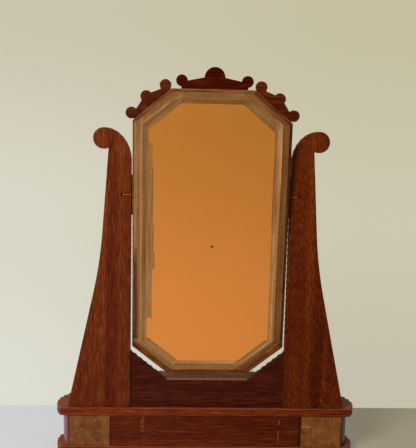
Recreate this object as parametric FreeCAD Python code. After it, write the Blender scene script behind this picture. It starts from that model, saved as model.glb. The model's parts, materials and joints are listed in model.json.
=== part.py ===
import FreeCAD, Part

# Toilet mirror of mahogany: an octagonal swing mirror between two scrolled uprights,
# on a base with round ends and one drawer.
#
# Millimetres, +Z up. The origin is the middle of the base's underside. The front, where
# the drawer opens, is -Y. Left and right are those of a person at the front: right is +X.
import math
import os

Vector = FreeCAD.Vector
X_AXIS = Vector(1, 0, 0)
Y_AXIS = Vector(0, 1, 0)
Z_AXIS = Vector(0, 0, 1)
SIDES = (("left", -1), ("right", 1))

# ---- Driving dimensions -------------------------------------------------------------

# Base boards: the plan is a T with round ends, the drawer case in its stem
board_thickness = 10.5
board_depth = 148.0
lobe_radius = 38.3
lobe_centre_x = 167.0
lobe_centre_from_rear = 24.3
board_overhang = 9.0
rear_setback = 1.5

# Drawer case and end pedestals, between the two boards
case_height = 44.5
case_half_width = 96.5
partition_thickness = 8.0
infill_thickness = 6.0
panel_thickness = 6.0
panel_side_gap = 0.7
panel_warp_gap = 1.1
panel_warp_start_x = -20.0
block_inner_x = 131.0
facing_thickness = 1.5
facing_back_shift = 1.9

# Uprights; widths are measured outwards from the upright's inner edge
upright_thickness = 11.0
upright_setback = 3.0
upright_foot_width = 84.0
upright_waist_width = 40.3
upright_waist_height = 199.5
upright_waist_radius = 600.0
upright_neck_width = 29.4
scroll_radius = 13.8
scroll_reach = 35.5
scroll_below_frame_corner = 24.0
crown_drop = 43.5
dowel_radius = 2.5
dowel_depth_in_board = 7.5
dowel_depth_in_upright = 14.0
dowel_insets = (14.0, 62.0)

# Lower panel between the uprights, cut to follow the mirror's lower edge
apron_thickness = 8.5
apron_setback = 1.5
apron_gap = 5.8

# Gouge cuts along the front arrises
nick_radius = 4.6
nick_depth = 1.9
nick_pitch = 8.6
board_nick_depth = 1.8
board_nick_pitch = 9.5

# Mirror frame: an octagon of eight mitred rails
frame_width = 203.8
frame_height = 382.2
frame_corner_run = 49.2
frame_lower_corner_rise = 39.6
frame_upper_corner_rise = 40.6
frame_above_board = 44.6
rail_width = 19.0
rail_thickness = 15.5
rail_land = 5.0
rail_ovolo_radius = 9.0
rail_bead_width = 3.0
rail_lip = 5.0
rebate_width = 6.5
rebate_depth = 5.0
glass_thickness = 3.0
glass_side_gap = 0.5

# Gummed paper tape over the joint of glass and frame
tape_thickness = 0.3
tape_slope_run = 6.0
tape_margins = {
    "lower_right": 7.0, "right": 1.9, "upper_right": 4.2, "top": 4.0,
    "upper_left": 4.3, "left": 3.7, "lower_left": 7.0, "bottom": 7.0,
}
tape_reaches = {
    "lower_right": 22.5, "right": 24.5, "upper_right": 21.5, "top": 17.9,
    "upper_left": 23.1, "left": 20.9, "lower_left": 22.2, "bottom": 18.8,
}

# Pivots: an L-shaped pin let into the back of each upright. The mirror is drawn upright,
# and rests leaning back about the pivots.
mirror_lean = 3.5
pivot_above_frame_middle = 54.1
pivot_gap = 2.1
pin_radius = 1.0
pin_sink = 0.3
pin_bend_radius = 2.0
pin_in_upright = 11.5
pin_leg = 8.0
pin_in_rail = 9.0
pin_fit = 0.05
pin_end_gap = 0.5
pin_hole_radius = 1.8
pin_hole_end_gap = 0.5
pad_thickness = 1.6
pad_length = 51.0
pad_width = 10.0

# Fretted crest on the three upper rails; heights are measured from the rail's edge
crest_thickness = 6.0
crest_front_setback = 1.0
crest_knob_radius = 7.4
top_crest_base_inset = 10.0
top_crest_knob_inset = 10.8
top_crest_knob_height = 10.1
top_crest_lobe_radius = 13.1
top_crest_lobe_height = 14.6
top_crest_off_middle = -1.5
side_crest_base_inset = 1.3
side_crest_knob_inset = 4.0
side_crest_knob_height = 8.4
side_crest_lobe_radius = 7.5
side_crest_lobe_height = 12.6

# Drawer
drawer_side_gap = 0.5
drawer_bottom_gap = 0.3
drawer_top_gap = 0.8
drawer_rear_gap = 2.0
drawer_front_thickness = 10.0
drawer_front_chamfer = 1.2
drawer_side_thickness = 5.0
drawer_back_thickness = 5.0
drawer_lap_depth = 7.0
drawer_bottom_thickness = 3.0
drawer_groove_depth = 2.5
drawer_groove_height = 4.0
drawer_back_drop = 4.0
drawer_fit = 0.15

# Turned knob and its screw
knob_radius = 9.5
knob_rim_radius = 3.2
knob_dome_radius = 13.0
knob_neck_radius = 4.5
knob_foot_radius = 7.0
knob_length = 17.0
knob_foot_length = 2.5
knob_hole_depth = 9.0
screw_radius = 1.6
screw_head_radius = 3.6
screw_head_height = 1.6
screw_end_gap = 0.6

# Brads through the back panel, and screws under the bottom board
brad_radius = 0.7
brad_head_radius = 1.0
brad_head_height = 0.6
brad_length = 15.0
brad_heights = (8.0, 36.0)
base_screw_radius = 1.8
base_screw_head_radius = 3.6
base_screw_head_height = 2.4
base_screw_sink = 0.4
base_screw_length = 26.0
base_screw_edge = 12.0

# ---- Places worked out from them ----------------------------------------------------

case_floor = board_thickness
case_ceiling = case_floor + case_height
base_height = case_ceiling + board_thickness

board_rear_y = board_depth / 2
board_front_y = -board_depth / 2
lobe_centre_y = board_rear_y - lobe_centre_from_rear
lobe_front_y = lobe_centre_y - lobe_radius
lobe_rear_x = lobe_centre_x + math.sqrt(lobe_radius**2 - lobe_centre_from_rear**2)
stem_half_width = case_half_width + board_overhang

case_rear_y = board_rear_y - rear_setback
case_front_y = board_front_y + board_overhang
panel_front_y = case_rear_y - panel_thickness
facing_radius = lobe_radius - board_overhang
block_radius = facing_radius - facing_thickness
facing_centre_y = lobe_centre_y + facing_back_shift
facing_front_y = facing_centre_y - facing_radius

upright_rear_y = board_rear_y - upright_setback
upright_front_y = upright_rear_y - upright_thickness
upright_inner_x = frame_width / 2 + pivot_gap
frame_upper_corner = frame_above_board + frame_height - frame_upper_corner_rise
scroll_height = frame_upper_corner - scroll_below_frame_corner
upright_top = scroll_height + scroll_radius

pivot_y = upright_rear_y - pin_radius - pin_sink
pivot_z = base_height + frame_above_board + frame_height / 2 + pivot_above_frame_middle
rail_front_y = pivot_y - rail_thickness / 2
rail_rear_y = rail_front_y + rail_thickness
glass_rear_v = rail_thickness - rebate_depth + glass_thickness

drawer_front_y = case_front_y
drawer_rear_y = panel_front_y - drawer_rear_gap
drawer_half_width = case_half_width - partition_thickness - drawer_side_gap
drawer_floor = case_floor + drawer_bottom_gap
drawer_ceiling = case_ceiling - drawer_top_gap
drawer_lap_y = drawer_front_y + drawer_lap_depth


# ---- Helpers ------------------------------------------------------------------------

def save(name, shape):
    """Writes one node's STEP file."""
    shape.exportStep("parts/" + name + ".step")


def block(x0, x1, y0, y1, z0, z1):
    """A box between two corners."""
    return Part.makeBox(x1 - x0, y1 - y0, z1 - z0, Vector(x0, y0, z0))


def mirrored(shape):
    """The shape's twin on the other side of the middle plane."""
    return shape.mirror(Vector(0, 0, 0), X_AXIS)


def placed(shape, side):
    """A shape drawn on the right, put on the side that is asked for."""
    return shape if side > 0 else mirrored(shape)


def polygon_face(points):
    """A flat face from its corners."""
    return Part.Face(Part.makePolygon(points + points[:1]))


def rod(radius, start, end):
    """A round bar from one point to another."""
    run = end - start
    return Part.makeCylinder(radius, run.Length, start, run)


def arc(centre, radius, start_degrees, middle_degrees, end_degrees, spot):
    """An arc whose plane is given by spot, which turns (a, b) into a point."""
    points = []
    for degrees in (start_degrees, middle_degrees, end_degrees):
        angle = math.radians(degrees)
        a = centre[0] + radius * math.cos(angle)
        b = centre[1] + radius * math.sin(angle)
        points.append(spot(a, b))
    return Part.Arc(*points).toShape()


def line(start, end):
    """A straight edge."""
    return Part.LineSegment(start, end).toShape()


def fused(shapes):
    """One solid from shapes that overlap, without seams."""
    return shapes[0].fuse(shapes[1:]).removeSplitter()


# ---- Gouge-cut arrises --------------------------------------------------------------

def nick(point, outward, face_normal, depth):
    """The gouge that makes one cut across an arris."""
    across = (face_normal - outward).normalize()
    away = (face_normal + outward).normalize()
    middle = point + away * (nick_radius - depth)
    half_length = depth * 1.3
    return Part.makeCylinder(nick_radius, 2 * half_length, middle - across * half_length, across)


def nicks_along(edges, face, face_normal, pitch, depth=nick_depth):
    """The gouges for a run of edges of a face, evenly spaced on each edge."""
    tools = []
    for edge in edges:
        count = int(edge.Length / pitch)
        if count < 1:
            continue
        for index in range(count):
            spot = edge.getParameterByLength(edge.Length * (index + 0.5) / count)
            point = edge.valueAt(spot)
            outward = edge.tangentAt(spot).cross(face_normal).normalize()
            if face.isInside(point + outward * depth, 0.001, True):
                outward = -outward
            tools.append(nick(point, outward, face_normal, depth))
    return tools


# ---- Base ---------------------------------------------------------------------------

def board_edges(z):
    """The outline of a base board: its rear edge first, then the edges that carry cuts."""
    rear_angle = math.degrees(math.asin(lobe_centre_from_rear / lobe_radius))
    right = [
        arc((lobe_centre_x, lobe_centre_y), lobe_radius, rear_angle, (rear_angle - 90) / 2, -90,
            lambda a, b: Vector(a, b, z)),
        line(Vector(lobe_centre_x, lobe_front_y, z), Vector(stem_half_width, lobe_front_y, z)),
        line(Vector(stem_half_width, lobe_front_y, z), Vector(stem_half_width, board_front_y, z)),
    ]
    left = [mirrored(edge) for edge in right]
    rear = line(Vector(-lobe_rear_x, board_rear_y, z), Vector(lobe_rear_x, board_rear_y, z))
    front = line(Vector(-stem_half_width, board_front_y, z), Vector(stem_half_width, board_front_y, z))
    return [rear] + right + [front] + left


def base_board(z):
    """A T-shaped board with round ends, its upper arris cut all round but at the back."""
    top = board_edges(z + board_thickness)
    face = Part.Face(Part.Wire(Part.__sortEdges__(top)))
    board = face.extrude(Vector(0, 0, -board_thickness))
    return board.cut(nicks_along(top[1:], face, Z_AXIS, board_nick_pitch, board_nick_depth))


def dowel_places():
    """The middle of each dowel at the foot of the right-hand upright, on the board's top."""
    y = (upright_rear_y + upright_front_y) / 2
    return [Vector(upright_inner_x + inset, y, base_height) for inset in dowel_insets]


def dowels():
    """The dowels that hold one upright to the top board."""
    return [rod(dowel_radius, place - Z_AXIS * dowel_depth_in_board,
                place + Z_AXIS * dowel_depth_in_upright) for place in dowel_places()]


def pedestal_face(radius, inner_x, z):
    """The plan of a pedestal: square inside, round outside, flat at the back."""
    rear_angle = math.degrees(math.asin((case_rear_y - facing_centre_y) / radius))
    rear_x = lobe_centre_x + radius * math.cos(math.radians(rear_angle))
    front_y = facing_centre_y - radius
    edges = [
        arc((lobe_centre_x, facing_centre_y), radius, rear_angle, (rear_angle - 90) / 2, -90,
            lambda a, b: Vector(a, b, z)),
        line(Vector(lobe_centre_x, front_y, z), Vector(inner_x, front_y, z)),
        line(Vector(inner_x, front_y, z), Vector(inner_x, case_rear_y, z)),
        line(Vector(inner_x, case_rear_y, z), Vector(rear_x, case_rear_y, z)),
    ]
    return Part.Face(Part.Wire(Part.__sortEdges__(edges)))


def pedestal_block():
    """The solid wooden block inside the right-hand pedestal."""
    return pedestal_face(block_radius, block_inner_x, case_floor).extrude(Z_AXIS * case_height)


def pedestal_facing():
    """The thin bent facing round the right-hand block."""
    outer = pedestal_face(facing_radius, block_inner_x, case_floor).extrude(Z_AXIS * case_height)
    return outer.cut(pedestal_block())


def base_screw_places():
    """Where screws enter the right half of the bottom board, from below."""
    partition_x = case_half_width - partition_thickness / 2
    return [
        Vector(block_inner_x + base_screw_edge, lobe_centre_y, 0),
        Vector(lobe_centre_x, lobe_centre_y, 0),
        Vector(partition_x, lobe_front_y - base_screw_edge, 0),
        Vector(partition_x, case_front_y + base_screw_edge, 0),
    ]


def base_screw(place, gap=0.0):
    """One countersunk screw under the bottom board, or with a gap the hole for it."""
    foot = place + Z_AXIS * (0 if gap else base_screw_sink)
    shank = rod(base_screw_radius + gap, foot, place + Z_AXIS * base_screw_length)
    seat = place + Z_AXIS * base_screw_sink
    head = Part.makeCone(base_screw_head_radius, base_screw_radius, base_screw_head_height, seat, Z_AXIS)
    if gap:
        mouth = rod(base_screw_head_radius, place, seat)
        return fused([shank, head, mouth])
    return fused([shank, head])


def brad_places():
    """Where brads enter the back panel, over the right-hand partition."""
    x = case_half_width - partition_thickness / 2
    return [Vector(x, case_rear_y, case_floor + height) for height in brad_heights]


def brad(place):
    """One brad, its head flush with the panel's back."""
    head = rod(brad_head_radius, place, place - Y_AXIS * brad_head_height)
    shank = rod(brad_radius, place, place - Y_AXIS * brad_length)
    return fused([head, shank])


def back_panel():
    """The thin panel behind the drawer; its top edge has shrunk away at one end."""
    half = block_inner_x - panel_side_gap
    outline = [
        Vector(-half, panel_front_y, case_floor),
        Vector(half, panel_front_y, case_floor),
        Vector(half, panel_front_y, case_ceiling),
        Vector(panel_warp_start_x, panel_front_y, case_ceiling),
        Vector(-half, panel_front_y, case_ceiling - panel_warp_gap),
    ]
    return polygon_face(outline).extrude(Y_AXIS * panel_thickness)


def make_base():
    """The boards, drawer case, pedestals and their fastenings."""
    brads = [brad(place) for place in brad_places()]
    all_brads = brads + [mirrored(one) for one in brads]
    screws = [base_screw(place) for place in base_screw_places()]
    screw_holes = [base_screw(place, pin_fit) for place in base_screw_places()]
    all_holes = screw_holes + [mirrored(one) for one in screw_holes]
    all_dowels = dowels() + [mirrored(one) for one in dowels()]

    save("bottom_board", base_board(0).cut(all_holes))
    save("top_board", base_board(case_ceiling).cut(all_dowels))
    save("back_panel", back_panel().cut(all_brads))
    save("back_panel_brads", Part.makeCompound(all_brads))
    save("base_screws", Part.makeCompound(screws + [mirrored(one) for one in screws]))

    partition = block(case_half_width - partition_thickness, case_half_width,
                      case_front_y, panel_front_y, case_floor, case_ceiling)
    partition = partition.cut(brads + screw_holes)
    infill = block(case_half_width, block_inner_x, facing_front_y, facing_front_y + infill_thickness,
                   case_floor, case_ceiling)
    pedestal = pedestal_block().cut(screw_holes)
    for name, side in SIDES:
        save("drawer_partition_" + name, placed(partition, side))
        save("front_infill_" + name, placed(infill, side))
        save("pedestal_block_" + name, placed(pedestal, side))
        save("pedestal_facing_" + name, placed(pedestal_facing(), side))


# ---- Uprights and the panel between them --------------------------------------------

def upright_spot(width, height):
    """A point on the front face of the right-hand upright."""
    return Vector(upright_inner_x + width, upright_front_y, base_height + height)


def waist_points():
    """Where the outer edge bends: the two ends of the bend and its middle."""
    neck_drop = scroll_reach - upright_neck_width
    neck_height = scroll_height - math.sqrt(scroll_radius**2 - neck_drop**2)
    neck = upright_spot(upright_neck_width, neck_height)
    waist = upright_spot(upright_waist_width, upright_waist_height)
    foot = upright_spot(upright_foot_width, 0)
    upper = (neck - waist).normalize()
    lower = (foot - waist).normalize()
    half_turn = (math.pi - upper.getAngle(lower)) / 2
    run = upright_waist_radius * math.tan(half_turn)
    towards_centre = (upper + lower).normalize()
    rise = upright_waist_radius * (1 / math.cos(half_turn) - 1)
    return neck, waist + upper * run, waist + towards_centre * rise, waist + lower * run, foot


def upright_edges(clear_height):
    """The upright's outline: foot and the part beside the lower panel, then the cut edges."""
    neck, bend_top, bend_middle, bend_bottom, foot = waist_points()
    crown_start = upright_top - crown_drop
    handle = 0.5523
    crown = Part.BezierCurve()
    crown.setPoles([
        upright_spot(0, crown_start),
        upright_spot(0, crown_start + handle * crown_drop),
        upright_spot(scroll_reach * (1 - handle), upright_top),
        upright_spot(scroll_reach, upright_top),
    ])
    neck_angle = math.degrees(math.atan2(neck.z - base_height - scroll_height,
                                         neck.x - upright_inner_x - scroll_reach))
    scroll = arc((scroll_reach, scroll_height), scroll_radius, 90, (90 + neck_angle) / 2, neck_angle,
                 upright_spot)
    plain = [
        line(foot, upright_spot(0, 0)),
        line(upright_spot(0, 0), upright_spot(0, clear_height)),
    ]
    cut = [
        line(upright_spot(0, clear_height), upright_spot(0, crown_start)),
        crown.toShape(),
        scroll,
        line(neck, bend_top),
        Part.Arc(bend_top, bend_middle, bend_bottom).toShape(),
        line(bend_bottom, foot),
    ]
    return plain, cut


def pin_path():
    """The centre line of the right-hand pivot pin: along X, then forwards into the upright."""
    inner = Vector(frame_width / 2 - pin_in_rail, pivot_y, pivot_z)
    corner = Vector(upright_inner_x + pin_in_upright, pivot_y, pivot_z)
    centre = corner - X_AXIS * pin_bend_radius - Y_AXIS * pin_bend_radius
    bend = Part.Arc(
        corner - X_AXIS * pin_bend_radius,
        centre + (X_AXIS + Y_AXIS).normalize() * pin_bend_radius,
        corner - Y_AXIS * pin_bend_radius,
    )
    return Part.Wire([
        line(inner, corner - X_AXIS * pin_bend_radius),
        bend.toShape(),
        line(corner - Y_AXIS * pin_bend_radius, corner - Y_AXIS * pin_leg),
    ])


def pivot_pin(fit=0.0):
    """The right-hand pin; with a fit it is the room that it needs."""
    path = pin_path()
    start = path.Edges[0].Vertexes[0].Point
    ring = Part.Wire(Part.makeCircle(pin_radius + fit, start, X_AXIS))
    return path.makePipeShell([ring], True, True)


def pin_slot():
    """The slot that lets the right-hand pin into the upright's back, and the hole at its end."""
    half = pin_radius + pin_fit
    bend_x = upright_inner_x + pin_in_upright
    slot = block(upright_inner_x - 1, bend_x,
                 pivot_y, upright_rear_y + 1, pivot_z - half, pivot_z + half)
    hole_middle = Vector(bend_x - half + pin_hole_radius, upright_rear_y + 1, pivot_z)
    hole_end = Vector(hole_middle.x, pivot_y - pin_leg - pin_hole_end_gap, pivot_z)
    return slot.fuse([pivot_pin(pin_fit), rod(pin_hole_radius, hole_middle, hole_end)])


def apron_corners():
    """The top edge of the lower panel: it keeps its gap to the mirror's lower rails."""
    outline = inset([-apron_gap] * len(RAILS))
    start, bend = outline[1], outline[0]
    share = (upright_inner_x - bend[0]) / (start[0] - bend[0])
    end_z = bend[1] + (start[1] - bend[1]) * share
    return bend, (upright_inner_x, end_z)


def make_uprights():
    """The uprights, their dowels and pivot pins, and the panel between them."""
    bend, end = apron_corners()
    front = upright_rear_y - apron_setback - apron_thickness
    top = [Vector(x, front, z) for x, z in
           ((-end[0], end[1]), (-bend[0], bend[1]), bend, end)]
    face = polygon_face([Vector(-end[0], front, base_height)] + top + [Vector(end[0], front, base_height)])
    edges = [line(a, b) for a, b in zip(top, top[1:])]
    apron = face.extrude(Y_AXIS * apron_thickness).cut(nicks_along(edges, face, -Y_AXIS, nick_pitch))
    save("lower_panel", apron)

    plain, cut = upright_edges(end[1] - base_height)
    face = Part.Face(Part.Wire(Part.__sortEdges__(plain + cut)))
    upright = face.extrude(Y_AXIS * upright_thickness)
    upright = upright.cut(nicks_along(cut, face, -Y_AXIS, nick_pitch))
    upright = upright.cut(dowels() + [pin_slot()])
    for name, side in SIDES:
        save("upright_" + name, placed(upright, side))
        save("pivot_pin_" + name, placed(pivot_pin(), side))
        save("upright_dowels_" + name, Part.makeCompound([placed(one, side) for one in dowels()]))


# ---- Mirror -------------------------------------------------------------------------

def frame_corners():
    """The frame's outer corners as (x, z), anticlockwise seen from the front."""
    half = frame_width / 2
    flat = half - frame_corner_run
    low = base_height + frame_above_board
    high = low + frame_height
    right = [
        (flat, low),
        (half, low + frame_lower_corner_rise),
        (half, high - frame_upper_corner_rise),
        (flat, high),
    ]
    return right + [(-x, z) for x, z in reversed(right)]


RAILS = ("lower_right", "right", "upper_right", "top", "upper_left", "left", "lower_left", "bottom")


def inset(distances):
    """The frame's corners once each side, from lower_right on, has moved inwards by its distance."""
    moved = []
    for index in range(len(RAILS)):
        corner, run, inward = rail_axes(index)
        _, run_before, inward_before = rail_axes(index - 1)
        along = (distances[index - 1] - inward_before.dot(inward) * distances[index]) / \
            inward_before.dot(run.normalize())
        point = corner + inward * distances[index] + run * along
        moved.append((point.x, point.z))
    return moved


def rail_axes(index):
    """Start, end and inward direction of one side of the frame."""
    corners = frame_corners()
    start, end = corners[index], corners[(index + 1) % len(corners)]
    run = Vector(end[0] - start[0], 0, end[1] - start[1])
    inward = Vector(-run.z, 0, run.x).normalize()
    return Vector(start[0], 0, start[1]), run, inward


def mitred(index, edges, rings):
    """A section run along one side of the frame, cut at both ends along the rings' corners."""
    run = rail_axes(index)[1]
    spare = Vector(run).normalize() * rail_width
    section = Part.Face(Part.Wire(edges))
    section.translate(-spare)
    bar = section.extrude(run + spare * 2)
    following = (index + 1) % len(RAILS)
    corners = [ring[index] for ring in rings] + [ring[following] for ring in reversed(rings)]
    low = rail_front_y - rail_thickness
    wedge = polygon_face([Vector(x, low, z) for x, z in corners]).extrude(Y_AXIS * 3 * rail_thickness)
    return bar.common(wedge)


def section_spot(index):
    """Turns (inset, depth behind the frame's front) into a point at the start of a side."""
    start, _, inward = rail_axes(index)
    return lambda u, v: start + inward * u + Y_AXIS * (rail_front_y + v)


def rail_section(spot):
    """The moulding: flat land, ovolo, bead step and lip, with the glass rebate behind."""
    ovolo_end = rail_land + rail_ovolo_radius
    bead_start = rail_width - rail_bead_width
    lip_front = rail_thickness - rebate_depth - rail_lip
    rebate_u = rail_width - rebate_width
    slope = math.radians(45)
    depth = lip_front
    middle_u = rail_land + rail_ovolo_radius * math.sin(slope)
    middle_v = depth * (1 - math.cos(slope))
    return [
        line(spot(0, 0), spot(rail_land, 0)),
        Part.Arc(spot(rail_land, 0), spot(middle_u, middle_v), spot(ovolo_end, depth)).toShape(),
        line(spot(ovolo_end, depth), spot(bead_start, depth)),
        Part.Arc(spot(bead_start, depth),
                 spot((bead_start + rail_width) / 2, depth - rail_bead_width / 2),
                 spot(rail_width, depth)).toShape(),
        line(spot(rail_width, depth), spot(rail_width, rail_thickness - rebate_depth)),
        line(spot(rail_width, rail_thickness - rebate_depth),
             spot(rebate_u, rail_thickness - rebate_depth)),
        line(spot(rebate_u, rail_thickness - rebate_depth), spot(rebate_u, rail_thickness)),
        line(spot(rebate_u, rail_thickness), spot(0, rail_thickness)),
        line(spot(0, rail_thickness), spot(0, 0)),
    ]


def tape_section(spot, margin, reach):
    """Paper tape: on the frame's back, down the step and onto the glass."""
    step = rail_width - rebate_width
    low_u = step + tape_slope_run
    lift = Vector(0, tape_thickness, 0)
    under = [
        spot(margin, rail_thickness),
        spot(step, rail_thickness),
        spot(low_u, glass_rear_v),
        spot(reach, glass_rear_v),
    ]
    loop = under + [point + lift for point in reversed(under)]
    return [line(a, b) for a, b in zip(loop, loop[1:] + loop[:1])]


def crest_piece(base, knob_x, knob_height, lobe_radius_here, lobe_height):
    """A fretted crest in its own plane: a at right angles to the rail's edge is up."""
    def spot(a, b):
        return Vector(a, 0, b)

    shoulder_x = lobe_radius_here * math.cos(math.radians(8))
    outline = [
        spot(-base, 0), spot(base, 0), spot(knob_x, knob_height),
        spot(knob_x - crest_knob_radius, knob_height),
        spot(shoulder_x, lobe_height), spot(-shoulder_x, lobe_height),
        spot(-knob_x + crest_knob_radius, knob_height), spot(-knob_x, knob_height),
    ]
    depth = Y_AXIS * crest_thickness
    solids = [polygon_face(outline).extrude(depth)]
    for x, height, radius in (
        (-knob_x, knob_height, crest_knob_radius),
        (0, lobe_height, lobe_radius_here),
        (knob_x, knob_height, crest_knob_radius),
    ):
        solids.append(Part.makeCylinder(radius, crest_thickness, spot(x, height), Y_AXIS))
    return fused(solids)


def crest_on_rail(shape, index):
    """Turns a crest piece and sets it on the middle of a rail's outer edge."""
    start, run, inward = rail_axes(index)
    angle = math.degrees(math.atan2(inward.x, -inward.z))
    middle = start + run * 0.5
    turned = shape.copy()
    turned.rotate(Vector(0, 0, 0), Y_AXIS, -angle)
    turned.translate(Vector(middle.x, rail_front_y + crest_front_setback, middle.z))
    return turned


def leaned(shape):
    """A piece of the mirror, turned about the pivots to lean back."""
    turned = shape.copy()
    turned.rotate(Vector(0, pivot_y, pivot_z), X_AXIS, -mirror_lean)
    return turned


def make_mirror():
    """Rails, glass, tape, crest and pivot pads."""
    bore_start = Vector(frame_width / 2 - pin_in_rail - pin_end_gap, pivot_y, pivot_z)
    bore_end = Vector(upright_inner_x, pivot_y, pivot_z)
    bore = rod(pin_radius + pin_fit, bore_start, bore_end)
    bores = [bore, mirrored(bore)]
    count = len(RAILS)
    step = rail_width - rebate_width
    rail_rings = [frame_corners(), inset([rail_width] * count)]
    tape_rings = [
        inset([tape_margins[name] for name in RAILS]),
        inset([step] * count),
        inset([tape_reaches[name] for name in RAILS]),
    ]
    for index, name in enumerate(RAILS):
        spot = section_spot(index)
        rail = mitred(index, rail_section(spot), rail_rings)
        if name in ("left", "right"):
            rail = rail.cut(bores)
        save("frame_rail_" + name, leaned(rail))
        tape = tape_section(spot, tape_margins[name], tape_reaches[name])
        save("tape_" + name, leaned(mitred(index, tape, tape_rings)))

    glass_corners = inset([step + glass_side_gap] * count)
    glass_front = rail_rear_y - rebate_depth
    glass = polygon_face([Vector(x, glass_front, z) for x, z in glass_corners])
    save("mirror_glass", leaned(glass.extrude(Y_AXIS * glass_thickness)))

    top_half = frame_width / 2 - frame_corner_run
    side_half = math.hypot(frame_corner_run, frame_upper_corner_rise) / 2
    top_crest = crest_piece(top_half - top_crest_base_inset, top_half - top_crest_knob_inset,
                            top_crest_knob_height, top_crest_lobe_radius, top_crest_lobe_height)
    side_crest = crest_piece(side_half - side_crest_base_inset, side_half - side_crest_knob_inset,
                             side_crest_knob_height, side_crest_lobe_radius, side_crest_lobe_height)
    top_crest.translate(X_AXIS * top_crest_off_middle)
    save("crest_top", leaned(crest_on_rail(top_crest, RAILS.index("top"))))
    save("crest_left", leaned(crest_on_rail(side_crest, RAILS.index("upper_left"))))
    save("crest_right", leaned(crest_on_rail(side_crest, RAILS.index("upper_right"))))

    outer_x = frame_width / 2
    pad = block(outer_x, outer_x + pad_thickness, pivot_y - pad_width / 2, pivot_y + pad_width / 2,
                pivot_z - pad_length / 2, pivot_z + pad_length / 2).cut(bore)
    for name, side in SIDES:
        save("pivot_pad_" + name, leaned(placed(pad, side)))


# ---- Drawer -------------------------------------------------------------------------

def drawer_front():
    """The drawer front: lapped ends, a groove for the bottom and a chamfered face."""
    front = block(-drawer_half_width, drawer_half_width, drawer_front_y,
                  drawer_front_y + drawer_front_thickness, drawer_floor, drawer_ceiling)
    face_edges = [edge for edge in front.Edges
                  if all(abs(v.Y - drawer_front_y) < 1e-6 for v in edge.Vertexes)]
    front = front.makeChamfer(drawer_front_chamfer, face_edges)
    lap = block(drawer_half_width - drawer_side_thickness, drawer_half_width + 1, drawer_lap_y,
                drawer_front_y + drawer_front_thickness + 1, drawer_floor - 1, drawer_ceiling + 1)
    return front.cut([lap, mirrored(lap), drawer_bottom(drawer_fit), knob_hole()])


def drawer_bottom(fit=0.0):
    """The bottom panel, held in grooves; with a fit it cuts the grooves."""
    half = drawer_half_width - drawer_side_thickness + drawer_groove_depth
    low = drawer_floor + drawer_groove_height
    front = drawer_front_y + drawer_front_thickness - drawer_groove_depth
    return block(-half - fit, half + fit, front - fit, drawer_rear_y + fit,
                 low - fit, low + drawer_bottom_thickness + fit)


def knob_spot(depth):
    """A point on the knob's axis, measured forwards from the drawer front."""
    return Vector(0, drawer_front_y - depth, (drawer_floor + drawer_ceiling) / 2)


def knob_hole():
    """The screw's hole through the drawer front."""
    return rod(screw_radius, knob_spot(0), knob_spot(-drawer_front_thickness))


def drawer_knob():
    """The turned knob: foot, hollow neck and domed head, bored for its screw."""
    middle = knob_spot(0)

    def spot(length, radius):
        return Vector(0, middle.y - length, middle.z + radius)

    rim_radius_at = knob_radius - knob_rim_radius
    dome_middle = knob_length - knob_dome_radius
    rim_angle = math.degrees(math.acos(rim_radius_at / (knob_dome_radius - knob_rim_radius)))
    rim_middle = dome_middle + math.sqrt((knob_dome_radius - knob_rim_radius)**2 - rim_radius_at**2)
    neck_end = rim_middle - knob_rim_radius
    neck_middle = (knob_foot_length + neck_end) / 2
    profile = [
        line(spot(0, 0), spot(0, knob_foot_radius)),
        line(spot(0, knob_foot_radius), spot(knob_foot_length, knob_foot_radius)),
        line(spot(knob_foot_length, knob_foot_radius), spot(knob_foot_length, rim_radius_at)),
        Part.Arc(spot(knob_foot_length, rim_radius_at), spot(neck_middle, knob_neck_radius),
                 spot(neck_end, rim_radius_at)).toShape(),
        arc((rim_middle, rim_radius_at), knob_rim_radius, 180, (270 - rim_angle) / 2, 90 - rim_angle, spot),
        arc((dome_middle, 0), knob_dome_radius, 90 - rim_angle, (90 - rim_angle) / 2, 0, spot),
        line(spot(knob_length, 0), spot(0, 0)),
    ]
    turned = Part.Face(Part.Wire(profile)).revolve(middle, Y_AXIS, 360)
    return turned.cut(rod(screw_radius, knob_spot(-1), knob_spot(knob_hole_depth)))


def knob_screw():
    """The screw that holds the knob, its round head inside the drawer."""
    inside = -drawer_front_thickness
    shank = rod(screw_radius, knob_spot(inside), knob_spot(knob_hole_depth - screw_end_gap))
    head = Part.makeCone(screw_head_radius, screw_radius, screw_head_height, knob_spot(inside), Y_AXIS)
    return fused([shank, head])


def make_drawer():
    """The drawer's five boards, its knob and the knob's screw."""
    groove = drawer_bottom(drawer_fit)
    outer = drawer_half_width
    inner = outer - drawer_side_thickness
    side_board = block(inner, outer, drawer_lap_y, drawer_rear_y, drawer_floor, drawer_ceiling)
    side_board = side_board.cut(groove)
    back_floor = drawer_floor + drawer_groove_height + drawer_bottom_thickness + drawer_fit
    back = block(-inner, inner, drawer_rear_y - drawer_back_thickness, drawer_rear_y,
                 back_floor, drawer_ceiling - drawer_back_drop)
    save("drawer_front", drawer_front())
    save("drawer_back", back)
    save("drawer_bottom", drawer_bottom())
    save("drawer_knob", drawer_knob())
    save("knob_screw", knob_screw())
    for name, side in SIDES:
        save("drawer_side_" + name, placed(side_board, side))


os.makedirs("parts", exist_ok=True)
make_base()
make_uprights()
make_mirror()
make_drawer()
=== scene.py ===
"""Looks for a mahogany toilet mirror, seen from behind.

An octagonal mirror swings between two scrolled uprights on a round-ended base with
one drawer. The wood, the gummed paper tape, the painted back of the glass and the
small metal fittings are made here, over the solids of the part.
"""

import json
import logging
import math
from dataclasses import dataclass
from enum import Enum
from functools import cached_property
from typing import Iterable, Mapping, Protocol, Sequence, Union

import bmesh
import bpy
from mathutils import Euler, Matrix, Vector, noise


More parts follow.
